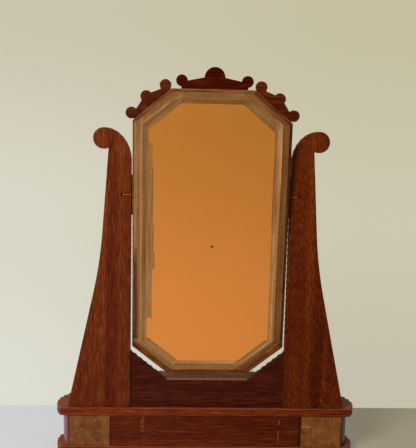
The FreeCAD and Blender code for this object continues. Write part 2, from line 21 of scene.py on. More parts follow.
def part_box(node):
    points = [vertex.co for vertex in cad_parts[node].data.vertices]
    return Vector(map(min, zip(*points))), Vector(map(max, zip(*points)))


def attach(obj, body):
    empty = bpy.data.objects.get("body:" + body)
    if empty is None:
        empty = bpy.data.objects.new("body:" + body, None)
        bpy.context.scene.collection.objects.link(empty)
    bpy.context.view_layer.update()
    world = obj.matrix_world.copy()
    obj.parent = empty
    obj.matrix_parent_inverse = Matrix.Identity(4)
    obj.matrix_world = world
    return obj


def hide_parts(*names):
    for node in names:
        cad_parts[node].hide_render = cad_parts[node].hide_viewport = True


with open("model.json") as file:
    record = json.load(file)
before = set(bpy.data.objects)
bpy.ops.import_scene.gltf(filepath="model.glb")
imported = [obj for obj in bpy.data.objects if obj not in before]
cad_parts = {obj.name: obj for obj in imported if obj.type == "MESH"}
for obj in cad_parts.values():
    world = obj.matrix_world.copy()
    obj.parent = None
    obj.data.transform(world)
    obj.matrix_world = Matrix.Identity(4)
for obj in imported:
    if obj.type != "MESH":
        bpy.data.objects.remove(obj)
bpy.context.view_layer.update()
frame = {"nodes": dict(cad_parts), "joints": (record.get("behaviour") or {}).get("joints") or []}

MM = 0.001
Colour = tuple[float, float, float]
Stops = Sequence[tuple[float, Colour]]
Operand = Union["Field", float, tuple, Vector, bpy.types.Material]

log = logging.getLogger("toilet_mirror")


# ---- Shader maths --------------------------------------------------------------------


class Field:
    """A shader socket that Python's operators turn into Math nodes."""

    def __init__(self, graph: "Graph", socket: bpy.types.NodeSocket) -> None:
        """Wraps one output socket.

        Args:
            graph: The node tree that the socket belongs to.
            socket: The output socket.
        """
        self.graph = graph
        self.socket = socket

    def _math(self, operation: str, first: Operand, second: Operand = 0.0) -> "Field":
        """Adds one Math node."""
        return self.graph.node("ShaderNodeMath", {"operation": operation}, {0: first, 1: second})

    def __add__(self, other: Operand) -> "Field":
        """Sum."""
        return self._math("ADD", self, other)

    __radd__ = __add__

    def __sub__(self, other: Operand) -> "Field":
        """Difference."""
        return self._math("SUBTRACT", self, other)

    def __rsub__(self, other: Operand) -> "Field":
        """Difference with the field on the right."""
        return self._math("SUBTRACT", other, self)

    def __mul__(self, other: Operand) -> "Field":
        """Product."""
        return self._math("MULTIPLY", self, other)

    __rmul__ = __mul__

    def __truediv__(self, other: Operand) -> "Field":
        """Quotient."""
        return self._math("DIVIDE", self, other)

    def __pow__(self, other: Operand) -> "Field":
        """Power."""
        return self._math("POWER", self, other)

    def __abs__(self) -> "Field":
        """Size without sign."""
        return self._math("ABSOLUTE", self)

    def __lt__(self, other: Operand) -> "Field":
        """1 where the value is the smaller one, and 0 elsewhere."""
        return self._math("LESS_THAN", self, other)

    def sine(self) -> "Field":
        """Sine of the value in radians."""
        return self._math("SINE", self)

    def at_least(self, other: Operand) -> "Field":
        """The larger of two values."""
        return self._math("MAXIMUM", self, other)

    def rise(self, low: float, high: float) -> "Field":
        """A smooth step from 0 at low to 1 at high.

        Args:
            low: Where the step starts.
            high: Where the step ends; it may be below low, and the step then falls.

        Returns:
            The step.
        """
        settings = {"data_type": "FLOAT", "interpolation_type": "SMOOTHSTEP"}
        inputs = {"Value": self, "From Min": min(low, high), "From Max": max(low, high)}
        inputs |= {"To Min": float(high < low), "To Max": float(high > low)}
        return self.graph.node("ShaderNodeMapRange", settings, inputs)

    def within(self, middle: float, half_width: float, soft: float) -> "Field":
        """A band that is 1 at its middle and 0 outside it.

        Args:
            middle: The band's middle.
            half_width: Half its width.
            soft: The share of half_width over which each side starts and stops fading.

        Returns:
            The band.
        """
        return abs(self - middle).rise(half_width * (1 + soft), half_width * (1 - soft))


class Graph:
    """A node tree, of a material or of geometry."""

    def __init__(self, tree: bpy.types.NodeTree) -> None:
        """Takes over a tree and empties it.

        Args:
            tree: The tree.
        """
        self.tree = tree
        self.tree.nodes.clear()

    def node(
        self,
        kind: str,
        settings: Mapping[str, object] | None = None,
        inputs: Mapping[str | int, Operand] | None = None,
        output: str | int = 0,
    ) -> Field:
        """Adds a node: its settings first, then its sockets.

        Args:
            kind: The node's type.
            settings: Attributes of the node; "stops" gives a ramp's positions and colours.
            inputs: Values or fields by socket name, identifier or number.
            output: Which output to return.

        Returns:
            The chosen output.
        """
        made = self.tree.nodes.new(kind)
        for key, value in (settings or {}).items():
            if key == "stops":
                self._set_stops(made.color_ramp, value)
            else:
                setattr(made, key, value)
        for key, value in (inputs or {}).items():
            socket = self._find(made.inputs, key)
            if isinstance(value, Field):
                self.tree.links.new(value.socket, socket)
            elif isinstance(value, tuple) and socket.type == "RGBA" and len(value) == 3:
                socket.default_value = (*value, 1.0)
            else:
                socket.default_value = value
        return Field(self, self._find(made.outputs, output))

    @staticmethod
    def _find(sockets: bpy.types.bpy_prop_collection, key: str | int) -> bpy.types.NodeSocket:
        """Finds a socket by number, identifier or name.

        Args:
            sockets: The inputs or outputs of a node.
            key: What to look for.

        Returns:
            The socket.
        """
        if isinstance(key, int):
            return sockets[key]
        named = (socket for socket in sockets if socket.identifier == key)
        return next(named, None) or sockets[key]

    @staticmethod
    def _set_stops(ramp: bpy.types.ColorRamp, stops: Stops) -> None:
        """Fills a colour ramp.

        Args:
            ramp: The ramp.
            stops: Positions and colours, from low to high.
        """
        while len(ramp.elements) > 1:
            ramp.elements.remove(ramp.elements[-1])
        ramp.elements[0].position = stops[0][0]
        ramp.elements[0].color = (*stops[0][1], 1.0)
        for position, shade in stops[1:]:
            ramp.elements.new(position).color = (*shade, 1.0)

    def vector(self, x: Operand, y: Operand, z: Operand) -> Field:
        """A vector from three values."""
        return self.node("ShaderNodeCombineXYZ", None, {0: x, 1: y, 2: z})


class Shading(Graph):
    """The node tree of one material."""

    def __init__(self, name: str) -> None:
        """Makes an empty material.

        Args:
            name: The material's name.
        """
        self.material = bpy.data.materials.new(name)
        self.material.use_nodes = True
        super().__init__(self.material.node_tree)

    @cached_property
    def place(self) -> Field:
        """Object coordinates, made once."""
        return self.node("ShaderNodeTexCoord", output="Object")

    @cached_property
    def x(self) -> Field:
        """How far a point lies to the right, in metres."""
        return self.along((1, 0, 0))

    @cached_property
    def y(self) -> Field:
        """How far a point lies towards the back, in metres."""
        return self.along((0, 1, 0))

    @cached_property
    def z(self) -> Field:
        """How high a point lies, in metres."""
        return self.along((0, 0, 1))

    def along(self, direction: Sequence[float]) -> Field:
        """How far a point lies along a direction, in metres."""
        inputs = {0: self.place, 1: tuple(direction)}
        return self.node("ShaderNodeVectorMath", {"operation": "DOT_PRODUCT"}, inputs, "Value")

    def attribute(self, name: str) -> Field:
        """A number that the mesh carries."""
        return self.node("ShaderNodeAttribute", {"attribute_name": name}, output="Fac")

    def clouds(
        self, scale: float, detail: float = 2.0, where: Field | None = None, distortion: float = 0.0
    ) -> Field:
        """Fractal noise between 0 and 1.

        Args:
            scale: Features to the metre.
            detail: Octaves.
            where: The coordinates, which are the object's own if none are given.
            distortion: How far the noise bends itself.

        Returns:
            The noise.
        """
        inputs = {"Vector": where or self.place, "Scale": scale, "Detail": detail}
        inputs |= {"Roughness": 0.55, "Distortion": distortion}
        return self.node("ShaderNodeTexNoise", None, inputs, "Fac")

    def ramp(self, value: Field, stops: Stops) -> Field:
        """Turns a value into a colour."""
        return self.node("ShaderNodeValToRGB", {"stops": stops}, {0: value}, "Color")

    def mix(self, share: Operand, first: Operand, second: Operand) -> Field:
        """Mixes two colours, the first at a share of 0 and the second at a share of 1."""
        inputs = {"Factor_Float": share, "A_Color": first, "B_Color": second}
        return self.node("ShaderNodeMix", {"data_type": "RGBA"}, inputs, "Result_Color")

    def times(self, shade: Operand, value: Operand) -> Field:
        """A colour made lighter or darker by a value around 1."""
        inputs = {0: shade, 1: self.vector(value, value, value)}
        return self.node("ShaderNodeVectorMath", {"operation": "MULTIPLY"}, inputs)

    def relief(self, height: Field, distance: float, strength: float = 0.5) -> Field:
        """A normal from a height between 0 and 1.

        Args:
            height: The height.
            distance: What a height of 1 stands for, in metres.
            strength: How strongly it shows.

        Returns:
            The normal.
        """
        inputs = {"Height": height, "Distance": distance, "Strength": strength}
        return self.node("ShaderNodeBump", None, inputs)

    def surface(self, **sockets: Operand) -> bpy.types.Material:
        """Ends the tree in a Principled surface, with _ for each space in a socket's name."""
        inputs = {key.replace("_", " "): value for key, value in sockets.items()}
        return self.close(self.node("ShaderNodeBsdfPrincipled", None, inputs))

    def glow(self, shade: Field) -> Field:
        """A shader that gives a colour off as it is."""
        return self.node("ShaderNodeEmission", None, {"Color": shade, "Strength": 1.0})

    def blend(self, share: Field, first: Field, second: Field) -> Field:
        """Mixes two shaders, the first at a share of 0 and the second at a share of 1."""
        return self.node("ShaderNodeMixShader", None, {0: share, 1: first, 2: second})

    def close(self, shader: Field) -> bpy.types.Material:
        """Links a shader to the tree's end.

        Args:
            shader: The shader.

        Returns:
            The finished material.
        """
        end = self.tree.nodes.new("ShaderNodeOutputMaterial")
        self.tree.links.new(shader.socket, end.inputs["Surface"])
        return self.material


# ---- Finishes ------------------------------------------------------------------------


def colour(red: int, green: int, blue: int) -> Colour:
    """A colour as a screen shows it, turned into the linear values that shaders take.

    Args:
        red: 0 to 255.
        green: 0 to 255.
        blue: 0 to 255.

    Returns:
        The linear colour.
    """

    def linear(level: float) -> float:
        """One channel."""
        return level / 12.92 if level <= 0.04045 else ((level + 0.055) / 1.055) ** 2.4

    return (linear(red / 255), linear(green / 255), linear(blue / 255))


def shades(*levels: tuple[int, int, int]) -> tuple[Colour, ...]:
    """Colours from dark to light, each as a screen shows it."""
    return tuple(colour(*level) for level in levels)


class Grain(Enum):
    """The way that a board's grain runs."""

    UPRIGHT = (0.0, 0.0, 1.0)
    ACROSS = (1.0, 0.0, 0.0)
    FRONT_TO_BACK = (0.0, 1.0, 0.0)
    RISING = (0.774, 0.0, 0.633)
    FALLING = (0.774, 0.0, -0.633)

    def axes(self) -> tuple[Vector, Vector, Vector]:
        """The directions across the board, into it and along its grain.

        Returns:
            The three directions.
        """
        along = Vector(self.value)
        side = Vector((1, 0, 0)) if self is Grain.FRONT_TO_BACK else along.cross(Vector((0, 1, 0)))
        return side, side.cross(along), along


class Finish(Protocol):
    """A look that can be made into a material."""

    @property
    def name(self) -> str:
        """The material's name."""

    def make(self) -> bpy.types.Material:
        """Builds the material."""


@dataclass(frozen=True)
class Mark:
    """A small pale spot or streak on a piece's back. Lengths in millimetres.

    Attributes:
        x: How far to the right its middle is.
        z: How high its middle is.
        half_width: Half its width.
        half_height: Half its height.
        strength: How strongly it shows, from 0 to 1.
        soft_sides: How softly its sides fade, from 0 to 1.
        soft_ends: How softly its top and bottom fade, from 0 to 1.
    """

    x: float
    z: float
    half_width: float
    half_height: float
    strength: float
    soft_sides: float = 0.5
    soft_ends: float = 0.2

    def inside(self, graph: Shading) -> Field:
        """Its strength inside it, and 0 outside.

        Args:
            graph: The graph of the piece's material.

        Returns:
            The strength.
        """
        across = graph.x.within(self.x * MM, self.half_width * MM, self.soft_sides)
        upright = graph.z.within(self.z * MM, self.half_height * MM, self.soft_ends)
        return across * upright * self.strength


@dataclass(frozen=True)
class Mahogany:
    """Polished mahogany, with ribbons, fine fibres and short dark pores along the grain.

    Attributes:
        name: The material's name.
        grain: The way that the grain runs.
        shades: The wood's dark, middle and light colours.
        ribbons: Ribbons to the metre.
        fibre_stretch: How much slower the fibres change along the grain.
        roughness: How rough the polish is.
        gloss: How strongly the polish shines.
        coat: How strongly the varnish over it shines.
        offset: Where in the tree the board was cut, in metres.
        marks: Pale marks.
        mark_colour: Their colour.
        heart_x: Where a dark heart line runs up the board, in millimetres.
        fade: How much lighter the wood gets to the metre, in x, y and z.
        seams: Dark upright joints, with painted shadow in their gaps, each with its x and half its
            width in millimetres.
    """

    name: str
    grain: Grain
    shades: tuple[Colour, ...]
    ribbons: float = 55.0
    fibre_stretch: float = 0.05
    roughness: float = 0.5
    gloss: float = 0.06
    coat: float = 0.0
    offset: float = 0.0
    marks: tuple[Mark, ...] = ()
    mark_colour: Colour = (0.3, 0.1, 0.03)
    heart_x: float | None = None
    fade: tuple[float, float, float] = (0.0, 0.0, 0.0)
    seams: tuple[tuple[float, float], ...] = ()

    # Features to the metre, and how much of the tone each one makes.
    STREAKS, FIBRES, PORES, MOTTLES = 260.0, 620.0, 1700.0, 60.0
    RIBBON_SHARE, STREAK_SHARE, FIBRE_SHARE, MOTTLE_SHARE = 0.24, 0.12, 0.52, 0.12
    STOPS = (0.36, 0.50, 0.63)
    FADE_MIDDLE = 0.25
    HEART_SIDES, HEART_WANDER, HEART_DARKNESS = (11 * MM, 3 * MM), 14 * MM, 0.06
    PORE_LEVELS, PORE_DARKNESS = (0.56, 0.7), 0.32
    BROKEN_LEVELS = (0.35, 0.55)
    SEAM_SOFTNESS, SEAM_DARKNESS = 0.4, 0.75
    EDGE_PALENESS, EDGE_POLISH = 0.45, 0.12
    # Painted sheen and light on faces that look up: its paler colour, its least share and its
    # mottle.
    DUST_COLOUR, DUST_LEAST, DUST_FLUFF = colour(216, 128, 98), 0.4, 0.4
    # Painted shade on the rims of the round ends and on the tops: its least share and its mottle.
    GRIME_LEAST, GRIME_FLUFF = 0.2, 0.8

    def _figure(self, graph: Shading, scale: float, stretch: float, detail: float = 2.0) -> Field:
        """Noise drawn out along the grain.

        Args:
            graph: The material's graph.
            scale: Features to the metre across the grain.
            stretch: How much slower it changes along the grain.
            detail: Octaves.

        Returns:
            The noise.
        """
        beside, deep, along = (graph.along(direction) for direction in self.grain.axes())
        drawn = graph.vector(beside + self.offset, deep, along * stretch)
        return graph.clouds(scale, detail, drawn, distortion=0.35)

    def _heart(self, graph: Shading) -> Field:
        """The dark line of the heart, which wanders up the board."""
        wander = (graph.clouds(scale=9.0, detail=1.0) - 0.5) * self.HEART_WANDER
        return abs(graph.x + wander - self.heart_x * MM).rise(*self.HEART_SIDES)

    def _worn(self, graph: Shading, wood: Field, rubbed: Field) -> Field:
        """Adds pale marks, dark joints with painted shadow, rubbed edges, painted light with a
        dusty mottle and painted shade to clean wood.

        Args:
            graph: The material's graph.
            wood: The wood's colour.
            rubbed: Where its edges are rubbed.

        Returns:
            The colour of the worn wood, with its painted light and shade.
        """
        broken = graph.clouds(scale=420.0).rise(*self.BROKEN_LEVELS) if self.marks else 0.0
        for mark in self.marks:
            wood = graph.mix(mark.inside(graph) * broken, wood, self.mark_colour)
        # dark joints, with the shadow in their gaps painted in
        for seam_x, half_width in self.seams:
            seam = graph.x.within(seam_x * MM, half_width * MM, self.SEAM_SOFTNESS)
            wood = graph.times(wood, 1.0 - seam * self.SEAM_DARKNESS)
        wood = graph.mix(rubbed * self.EDGE_PALENESS, wood, self.shades[-1])
        fluff = graph.clouds(scale=600.0)
        # painted light: a sheen on the boards' tops and a lift in the mirror's shadow on the lower
        # panel
        dust = graph.attribute("dust") * (self.DUST_LEAST + fluff * self.DUST_FLUFF)
        # painted shade on the rims of the round ends and on the tops
        grime = graph.attribute("grime") * (self.GRIME_LEAST + fluff * self.GRIME_FLUFF)
        return graph.times(graph.mix(dust, wood, self.DUST_COLOUR), 1.0 - grime)

    def make(self) -> bpy.types.Material:
        """Builds the material.

        Returns:
            The material.
        """
        graph = Shading(self.name)
        ribbon = self._figure(graph, self.ribbons, stretch=0.035, detail=4.0)
        streak = self._figure(graph, self.STREAKS, stretch=0.03)
        fibre = self._figure(graph, self.FIBRES, stretch=self.fibre_stretch)
        pores = self._figure(graph, self.PORES, stretch=0.06, detail=1.0).rise(*self.PORE_LEVELS)
        tone = ribbon * self.RIBBON_SHARE + streak * self.STREAK_SHARE + fibre * self.FIBRE_SHARE
        tone = tone + graph.clouds(self.MOTTLES, detail=3.0) * self.MOTTLE_SHARE
        if self.heart_x is not None:
            tone = tone - self._heart(graph) * self.HEART_DARKNESS
        tone = tone + graph.along(self.fade) - self.fade[2] * self.FADE_MIDDLE
        rubbed = graph.attribute("rubbed")
        wood = self._worn(graph, graph.ramp(tone, tuple(zip(self.STOPS, self.shades))), rubbed)
        uneven = (streak - 0.5) * 0.16
        return graph.surface(
            Base_Color=graph.times(wood, 1.0 - pores * self.PORE_DARKNESS),
            Roughness=uneven + self.roughness - rubbed * self.EDGE_POLISH,
            Specular_IOR_Level=self.gloss,
            Coat_Weight=self.coat,
            Coat_Roughness=0.22,
            Normal=graph.relief(fibre * 0.4 + (1.0 - pores) * 0.6, 0.12 * MM),
        )


@dataclass(frozen=True)
class EndGrain:
    """Bare softwood sawn across, its rings cut as arcs about a far middle.

    Attributes:
        name: The material's name.
        shades: The wood's dark, middle and light colours.
        pith: The x and z of the rings' middle, in millimetres.
        ring_width: How far apart the rings are, in millimetres.
        saw: The x and z of the direction in which the saw's strokes run.
        scratch: A scratch, where there is one.
    """

    name: str
    shades: tuple[Colour, ...]
    pith: tuple[float, float]
    ring_width: float = 1.9
    saw: tuple[float, float] = (0.7, 0.7)
    scratch: Mark | None = None

    # Features to the metre, and how much of the tone each one makes.
    BLOTCHES, SAW_MARKS, GRIT = 70.0, 420.0, 1200.0
    RING_SHARE, BLOTCH_SHARE, SAW_SHARE, GRIT_SHARE = 0.12, 0.38, 0.24, 0.26
    STOPS = (0.33, 0.50, 0.66)
    SWAY = 9 * MM
    EDGE_PALENESS = 0.3
    SCRATCH_COLOUR = colour(170, 120, 72)

    def make(self) -> bpy.types.Material:
        """Builds the material.

        Returns:
            The material.
        """
        graph = Shading(self.name)
        beside, above = graph.x - self.pith[0] * MM, graph.z - self.pith[1] * MM
        sway = (graph.clouds(scale=90.0, detail=3.0) - 0.5) * self.SWAY
        radius = (beside * beside + above * above) ** 0.5 + sway
        rings = (radius * (math.tau / (self.ring_width * MM))).sine() * 0.5 + 0.5
        across, strokes = (self.saw[1], 0, -self.saw[0]), (self.saw[0], 0, self.saw[1])
        drawn = graph.vector(graph.along(across), 0.0, graph.along(strokes) * 0.16)
        saw, grit = graph.clouds(self.SAW_MARKS, where=drawn), graph.clouds(self.GRIT)
        tone = rings * self.RING_SHARE + graph.clouds(self.BLOTCHES, detail=3.0) * self.BLOTCH_SHARE
        tone = tone + saw * self.SAW_SHARE + grit * self.GRIT_SHARE
        wood = graph.ramp(tone, tuple(zip(self.STOPS, self.shades)))
        rubbed = graph.attribute("rubbed") * self.EDGE_PALENESS
        wood = graph.mix(rubbed, wood, self.shades[-1])
        if self.scratch is not None:
            wood = graph.mix(self.scratch.inside(graph), wood, self.SCRATCH_COLOUR)
        return graph.surface(
            Base_Color=wood,
            Roughness=0.85,
            Specular_IOR_Level=0.1,
            Normal=graph.relief(rings * 0.3 + saw * 0.4 + grit * 0.3, 0.4 * MM),
        )


@dataclass(frozen=True)
class PlainBoard:
    """Thin bare boards with a soft straight grain, as in a drawer.

    Attributes:
        name: The material's name.
        grain: The way that the grain runs.
        shades: The wood's dark and light colours.
    """

    name: str
    grain: Grain
    shades: tuple[Colour, ...]

    # Features to the metre, and how much of the tone each one makes.
    LINES, FINE_LINES, STAINS = 160.0, 900.0, 18.0
    LINE_SHARE, FINE_SHARE, STAIN_SHARE = 0.55, 0.2, 0.25
    STOPS = (0.36, 0.62)
    EDGE_PALENESS = 0.3

    def make(self) -> bpy.types.Material:
        """Builds the material.

        Returns:
            The material.
        """
        graph = Shading(self.name)
        beside, deep, along = (graph.along(direction) for direction in self.grain.axes())
        drawn = graph.vector(beside, deep, along * 0.05)
        lines = graph.clouds(self.LINES, 4.0, drawn, distortion=0.5)
        fine = graph.clouds(self.FINE_LINES, 1.0, drawn)
        tone = lines * self.LINE_SHARE + fine * self.FINE_SHARE
        tone = tone + graph.clouds(self.STAINS, detail=4.0) * self.STAIN_SHARE
        wood = graph.ramp(tone, tuple(zip(self.STOPS, self.shades)))
        rubbed = graph.attribute("rubbed") * self.EDGE_PALENESS
        return graph.surface(
            Base_Color=graph.mix(rubbed, wood, self.shades[-1]),
            Roughness=0.7,
            Normal=graph.relief(lines * 0.5 + fine * 0.5, 0.2 * MM),
        )


@dataclass(frozen=True)
class GummedPaper:
    """Brown gummed paper, aged, with fine streaks along each strip.

    Attributes:
        name: The material's name.
        stops: The paper's colours, from the darkest at 0 to the lightest at 1; stains and painted
            shade take the dark end, rubbed spots and painted highlights the light end.
    """

    name: str
    stops: Stops

    # Features to the metre, and how much of the tone each one makes.
    STREAKS, BANDS, BLOTS, FLUFF = 460.0, 150.0, 55.0, 420.0
    STREAK_SHARE, BAND_SHARE, BLOT_SHARE, FLUFF_SHARE = 0.75, 0.14, 0.2, 0.36
    MIDDLE = 0.735

    def make(self) -> bpy.types.Material:
        """Builds the material.

        Returns:
            The material.
        """
        graph = Shading(self.name)
        laid = graph.node("ShaderNodeUVMap", {"uv_map": "lie"})
        drawn_out = {0: laid, 1: (0.03, 1.0, 1.0)}
        drawn = graph.node("ShaderNodeVectorMath", {"operation": "MULTIPLY"}, drawn_out)
        streaks = graph.clouds(self.STREAKS, where=drawn, distortion=0.3)
        bands = graph.clouds(self.BANDS, where=drawn, distortion=0.4)
        blots, fluff = graph.clouds(self.BLOTS, detail=4.0), graph.clouds(self.FLUFF, detail=3.0)
        uneven = streaks * self.STREAK_SHARE + bands * self.BAND_SHARE
        uneven = uneven + blots * self.BLOT_SHARE + fluff * self.FLUFF_SHARE - self.MIDDLE
        return graph.surface(
            Base_Color=graph.ramp(graph.attribute("tone") + uneven, self.stops),
            Roughness=0.62 + blots * 0.2,
            Specular_IOR_Level=0.15,
            Normal=graph.relief(streaks * 0.6 + fluff * 0.4, 0.25 * MM),
        )


@dataclass(frozen=True)
class PaintedGlass:
    """Mirror glass whose back is painted; the face of it is the mirror.

    Attributes:
        name: The material's name.
        upper: The paint's colour at the top, darker than at the bottom as painted shade.
        lower: The paint's colour at the bottom.
        outward: The direction that the glass's back looks in.
        up: The direction up the glass.
        back_level: How far the back lies along outward, in metres.
        low_level: How far the bottom lies along up, in metres.
        high_level: How far the top lies along up, in metres.
        speck: How far a speck in the paint lies along x and along up, in metres.
    """

    name: str
    upper: Colour
    lower: Colour
    outward: Vector
    up: Vector
    back_level: float
    low_level: float
    high_level: float
    speck: tuple[float, float]

    SPECK_COLOUR, SPECK_RIM = colour(70, 38, 12), (2.6 * MM, 1.5 * MM)
    SPECK_RAGGED, SPECK_STRETCH = 1.2 * MM, 0.6
    PAINT_EDGE = (1.2 * MM, 0.8 * MM)
    PAINT_LEAST, CLOUD_SHARE, BRUSH_SHARE = 0.955, 0.06, 0.03
    SILVER = (0.86, 0.88, 0.87)

    def _speck(self, graph: Shading, height: Field) -> Field:
        """A speck, 1 inside it and 0 outside.

        Args:
            graph: The material's graph.
            height: How far a point lies up the glass.

        Returns:
            The speck.
        """
        beside, above = graph.x - self.speck[0], height - self.speck[1]
        ragged = graph.clouds(scale=900.0, detail=1.0) * self.SPECK_RAGGED
        away = (beside * beside * self.SPECK_STRETCH + above * above) ** 0.5 + ragged
        return away.rise(*self.SPECK_RIM)

    def make(self) -> bpy.types.Material:
        """Builds the material.

        Returns:
            The material.
        """
        graph = Shading(self.name)
        height = graph.along(self.up)
        bare, painted = (self.back_level - depth for depth in self.PAINT_EDGE)
        back = graph.along(self.outward).rise(bare, painted)
        cloudy = graph.clouds(scale=14.0, detail=3.0)
        brushed = graph.clouds(scale=260.0, where=graph.vector(graph.x, 0.0, height * 0.06))
        # painted shade: the paint darkens from the bottom of the glass to the top
        paint = graph.mix(height.rise(self.low_level, self.high_level), self.lower, self.upper)
        level = self.PAINT_LEAST + cloudy * self.CLOUD_SHARE + brushed * self.BRUSH_SHARE
        paint = graph.times(paint, level)
        paint = graph.mix(self._speck(graph, height), paint, self.SPECK_COLOUR)
        return graph.surface(
            Base_Color=graph.mix(back, self.SILVER, paint),
            Metallic=1.0 - back,
            Roughness=back * (0.40 + cloudy * 0.10) + 0.02,
            Specular_IOR_Level=0.15,
            Normal=graph.relief(brushed * back, 0.06 * MM, 0.4),
        )


@dataclass(frozen=True)
class DullMetal:
    """Small metal fittings, dulled and lightly rusted.

    Attributes:
        name: The material's name.
        clean: The bright metal's colour.
        tarnish: The colour of its spots.
        metallic: How metallic it looks, from 0 to 1.
    """

    name: str
    clean: Colour
    tarnish: Colour
    metallic: float = 0.9

    SPOTS, SPOT_LEVELS = 700.0, (0.42, 0.62)

    def make(self) -> bpy.types.Material:
        """Builds the material.

        Returns:
            The material.
        """
        graph = Shading(self.name)
        spots = graph.clouds(self.SPOTS, detail=3.0).rise(*self.SPOT_LEVELS)
        return graph.surface(
            Base_Color=graph.mix(spots, self.clean, self.tarnish),
            Metallic=self.metallic - spots * 0.5 * self.metallic,
            Roughness=0.38 + spots * 0.3,
            Normal=graph.relief(spots, 0.05 * MM),
        )


class Finishes:
    """Every material of the mirror, each made once."""

    def __init__(self) -> None:
        """Starts with none made."""
        self._made: dict[str, bpy.types.Material] = {}

    def of(self, finish: Finish) -> bpy.types.Material:
        """The material of a finish, made when it is first asked for.

        Args:
            finish: The finish.

        Returns:
            Its material.
        """
        if finish.name not in self._made:
            self._made[finish.name] = finish.make()
        return self._made[finish.name]


TOP_CREST_WOOD = Mahogany(
    "top_crest_mahogany", Grain.ACROSS, shades((40, 4, 0), (63, 10, 0), (88, 26, 2)),
    gloss=0.03, offset=0.3,
)
SIDE_CREST_WOOD = Mahogany(
    "side_crest_mahogany", Grain.ACROSS, shades((48, 10, 1), (80, 27, 3), (108, 50, 12)),
    offset=0.45,
)
BOARD_WOOD = Mahogany(
    "board_mahogany", Grain.ACROSS, shades((62, 12, 1), (100, 34, 4), (134, 58, 14)),
    roughness=0.36, gloss=0.1, offset=0.7, fade=(0.2, 0.0, 0.0),
)
UPRIGHT_WOODS = {
    "right": Mahogany(
        "upright_mahogany_right", Grain.UPRIGHT, shades((68, 20, 5), (97, 38, 9), (126, 60, 22)),
        fibre_stretch=0.09, offset=0.11, heart_x=128.0, fade=(0.0, 0.0, 0.18),
    ),
    "left": Mahogany(
        "upright_mahogany_left", Grain.UPRIGHT, shades((60, 14, 1), (87, 29, 2), (116, 52, 12)),
        ribbons=75.0, fibre_stretch=0.2, offset=0.53, heart_x=-150.0, fade=(0.0, 0.0, 0.14),
        marks=(Mark(-156.3, 77.6, 1.6, 0.5, 0.8), Mark(-155.5, 68.5, 0.7, 0.6, 0.5)),
        mark_colour=colour(170, 110, 70),
    ),
}
# A dark pad, painted darker still as the shade in the narrow gap between upright and frame.
PAD_WOOD = Mahogany(
    "pad_mahogany", Grain.UPRIGHT, shades((22, 7, 2), (36, 12, 4), (56, 22, 8)), gloss=0.03
)
APRON_WOOD = Mahogany(
    "lower_panel_mahogany", Grain.ACROSS, shades((40, 7, 3), (60, 16, 6), (86, 32, 13)),
    ribbons=75.0, offset=0.2,
    marks=(Mark(-1.5, 88.0, 1.2, 0.4, 0.5),), mark_colour=colour(120, 60, 35),
)
PANEL_WOOD = Mahogany(
    "back_panel_mahogany", Grain.ACROSS, shades((52, 11, 2), (81, 26, 6), (110, 45, 14)),
    # The dark joints beside the blocks are painted shadow in the gaps.
    ribbons=85.0, offset=0.9, fade=(0.2, 0.0, 0.0), seams=((130.5, 0.8), (-127.8, 0.9)),
    marks=(
        Mark(86.8, 42.5, 2.3, 11.0, 0.5),
        Mark(84.9, 24.0, 0.9, 0.9, 1.0),
        Mark(84.5, 20.0, 0.7, 0.7, 0.8),
        Mark(-99.4, 24.0, 1.0, 10.0, 0.7),
        Mark(-99.8, 45.5, 0.9, 3.2, 0.9),
        Mark(38.0, 32.0, 22.0, 1.2, 0.3),
    ),
    mark_colour=colour(146, 76, 42),
)
# Painted shade: the left stile's wood is darker than the rails', as its bare edge lies in shade.
DARK_STILE_WOOD = Mahogany(
    "dark_stile_mahogany", Grain.UPRIGHT, shades((40, 12, 3), (70, 30, 8), (100, 54, 18)),
    ribbons=140.0,
)


def rail_wood(height: str, grain: Grain) -> Mahogany:
    """The wood of one of the frame's rails.

    Args:
        height: "upper" or "lower".
        grain: The way that the rail's grain runs.

    Returns:
        The wood.
    """
    colours = {
        "upper": shades((72, 30, 8), (108, 66, 28), (146, 100, 50)),
        "lower": shades((64, 20, 3), (103, 48, 12), (138, 77, 22)),
    }
    return Mahogany(
        f"{height}_rail_mahogany_{grain.name.lower()}", grain, colours[height],
        ribbons=140.0, roughness=0.45, gloss=0.12, offset=0.4,
    )


# One wood on both facings: the right one's pinkish colour is a painted sheen of the pale cloth, the
# left one is darker as painted shade, and the right one's dark joint holds painted shadow.
FACING_WOODS = {
    "left": Mahogany(
        "facing_mahogany_left", Grain.ACROSS, shades((36, 10, 4), (60, 22, 10), (88, 40, 22)),
        roughness=0.3, gloss=0.3, coat=0.3, offset=0.35,
    ),
    "right": Mahogany(
        "facing_mahogany_right", Grain.ACROSS, shades((84, 32, 26), (120, 56, 48), (140, 76, 62)),
        roughness=0.3, gloss=0.3, coat=0.3, offset=0.65, seams=((186.9, 1.3),),
    ),
}
FRONT_WOOD = Mahogany(
    "drawer_front_mahogany", Grain.ACROSS, shades((68, 20, 5), (110, 46, 20), (142, 72, 34)),
    roughness=0.34, gloss=0.4, coat=0.3, offset=0.62,
)
KNOB_WOOD = Mahogany(
    "knob_mahogany", Grain.FRONT_TO_BACK, shades((58, 18, 8), (90, 34, 16), (120, 56, 28)),
    roughness=0.3, gloss=0.4, coat=0.35,
)
BLOCK_WOODS = {
    "right": EndGrain(
        "block_end_grain_right", shades((72, 37, 13), (107, 62, 28), (140, 94, 52)), (250.0, 150.0)
    ),
    "left": EndGrain(
        "block_end_grain_left", shades((80, 40, 14), (117, 67, 26), (152, 98, 46)), (-330.0, 60.0),
        ring_width=2.3, saw=(-0.12, 1.0), scratch=Mark(-136.5, 39.7, 8.0, 0.7, 0.8, 0.3, 0.6),
    ),
}
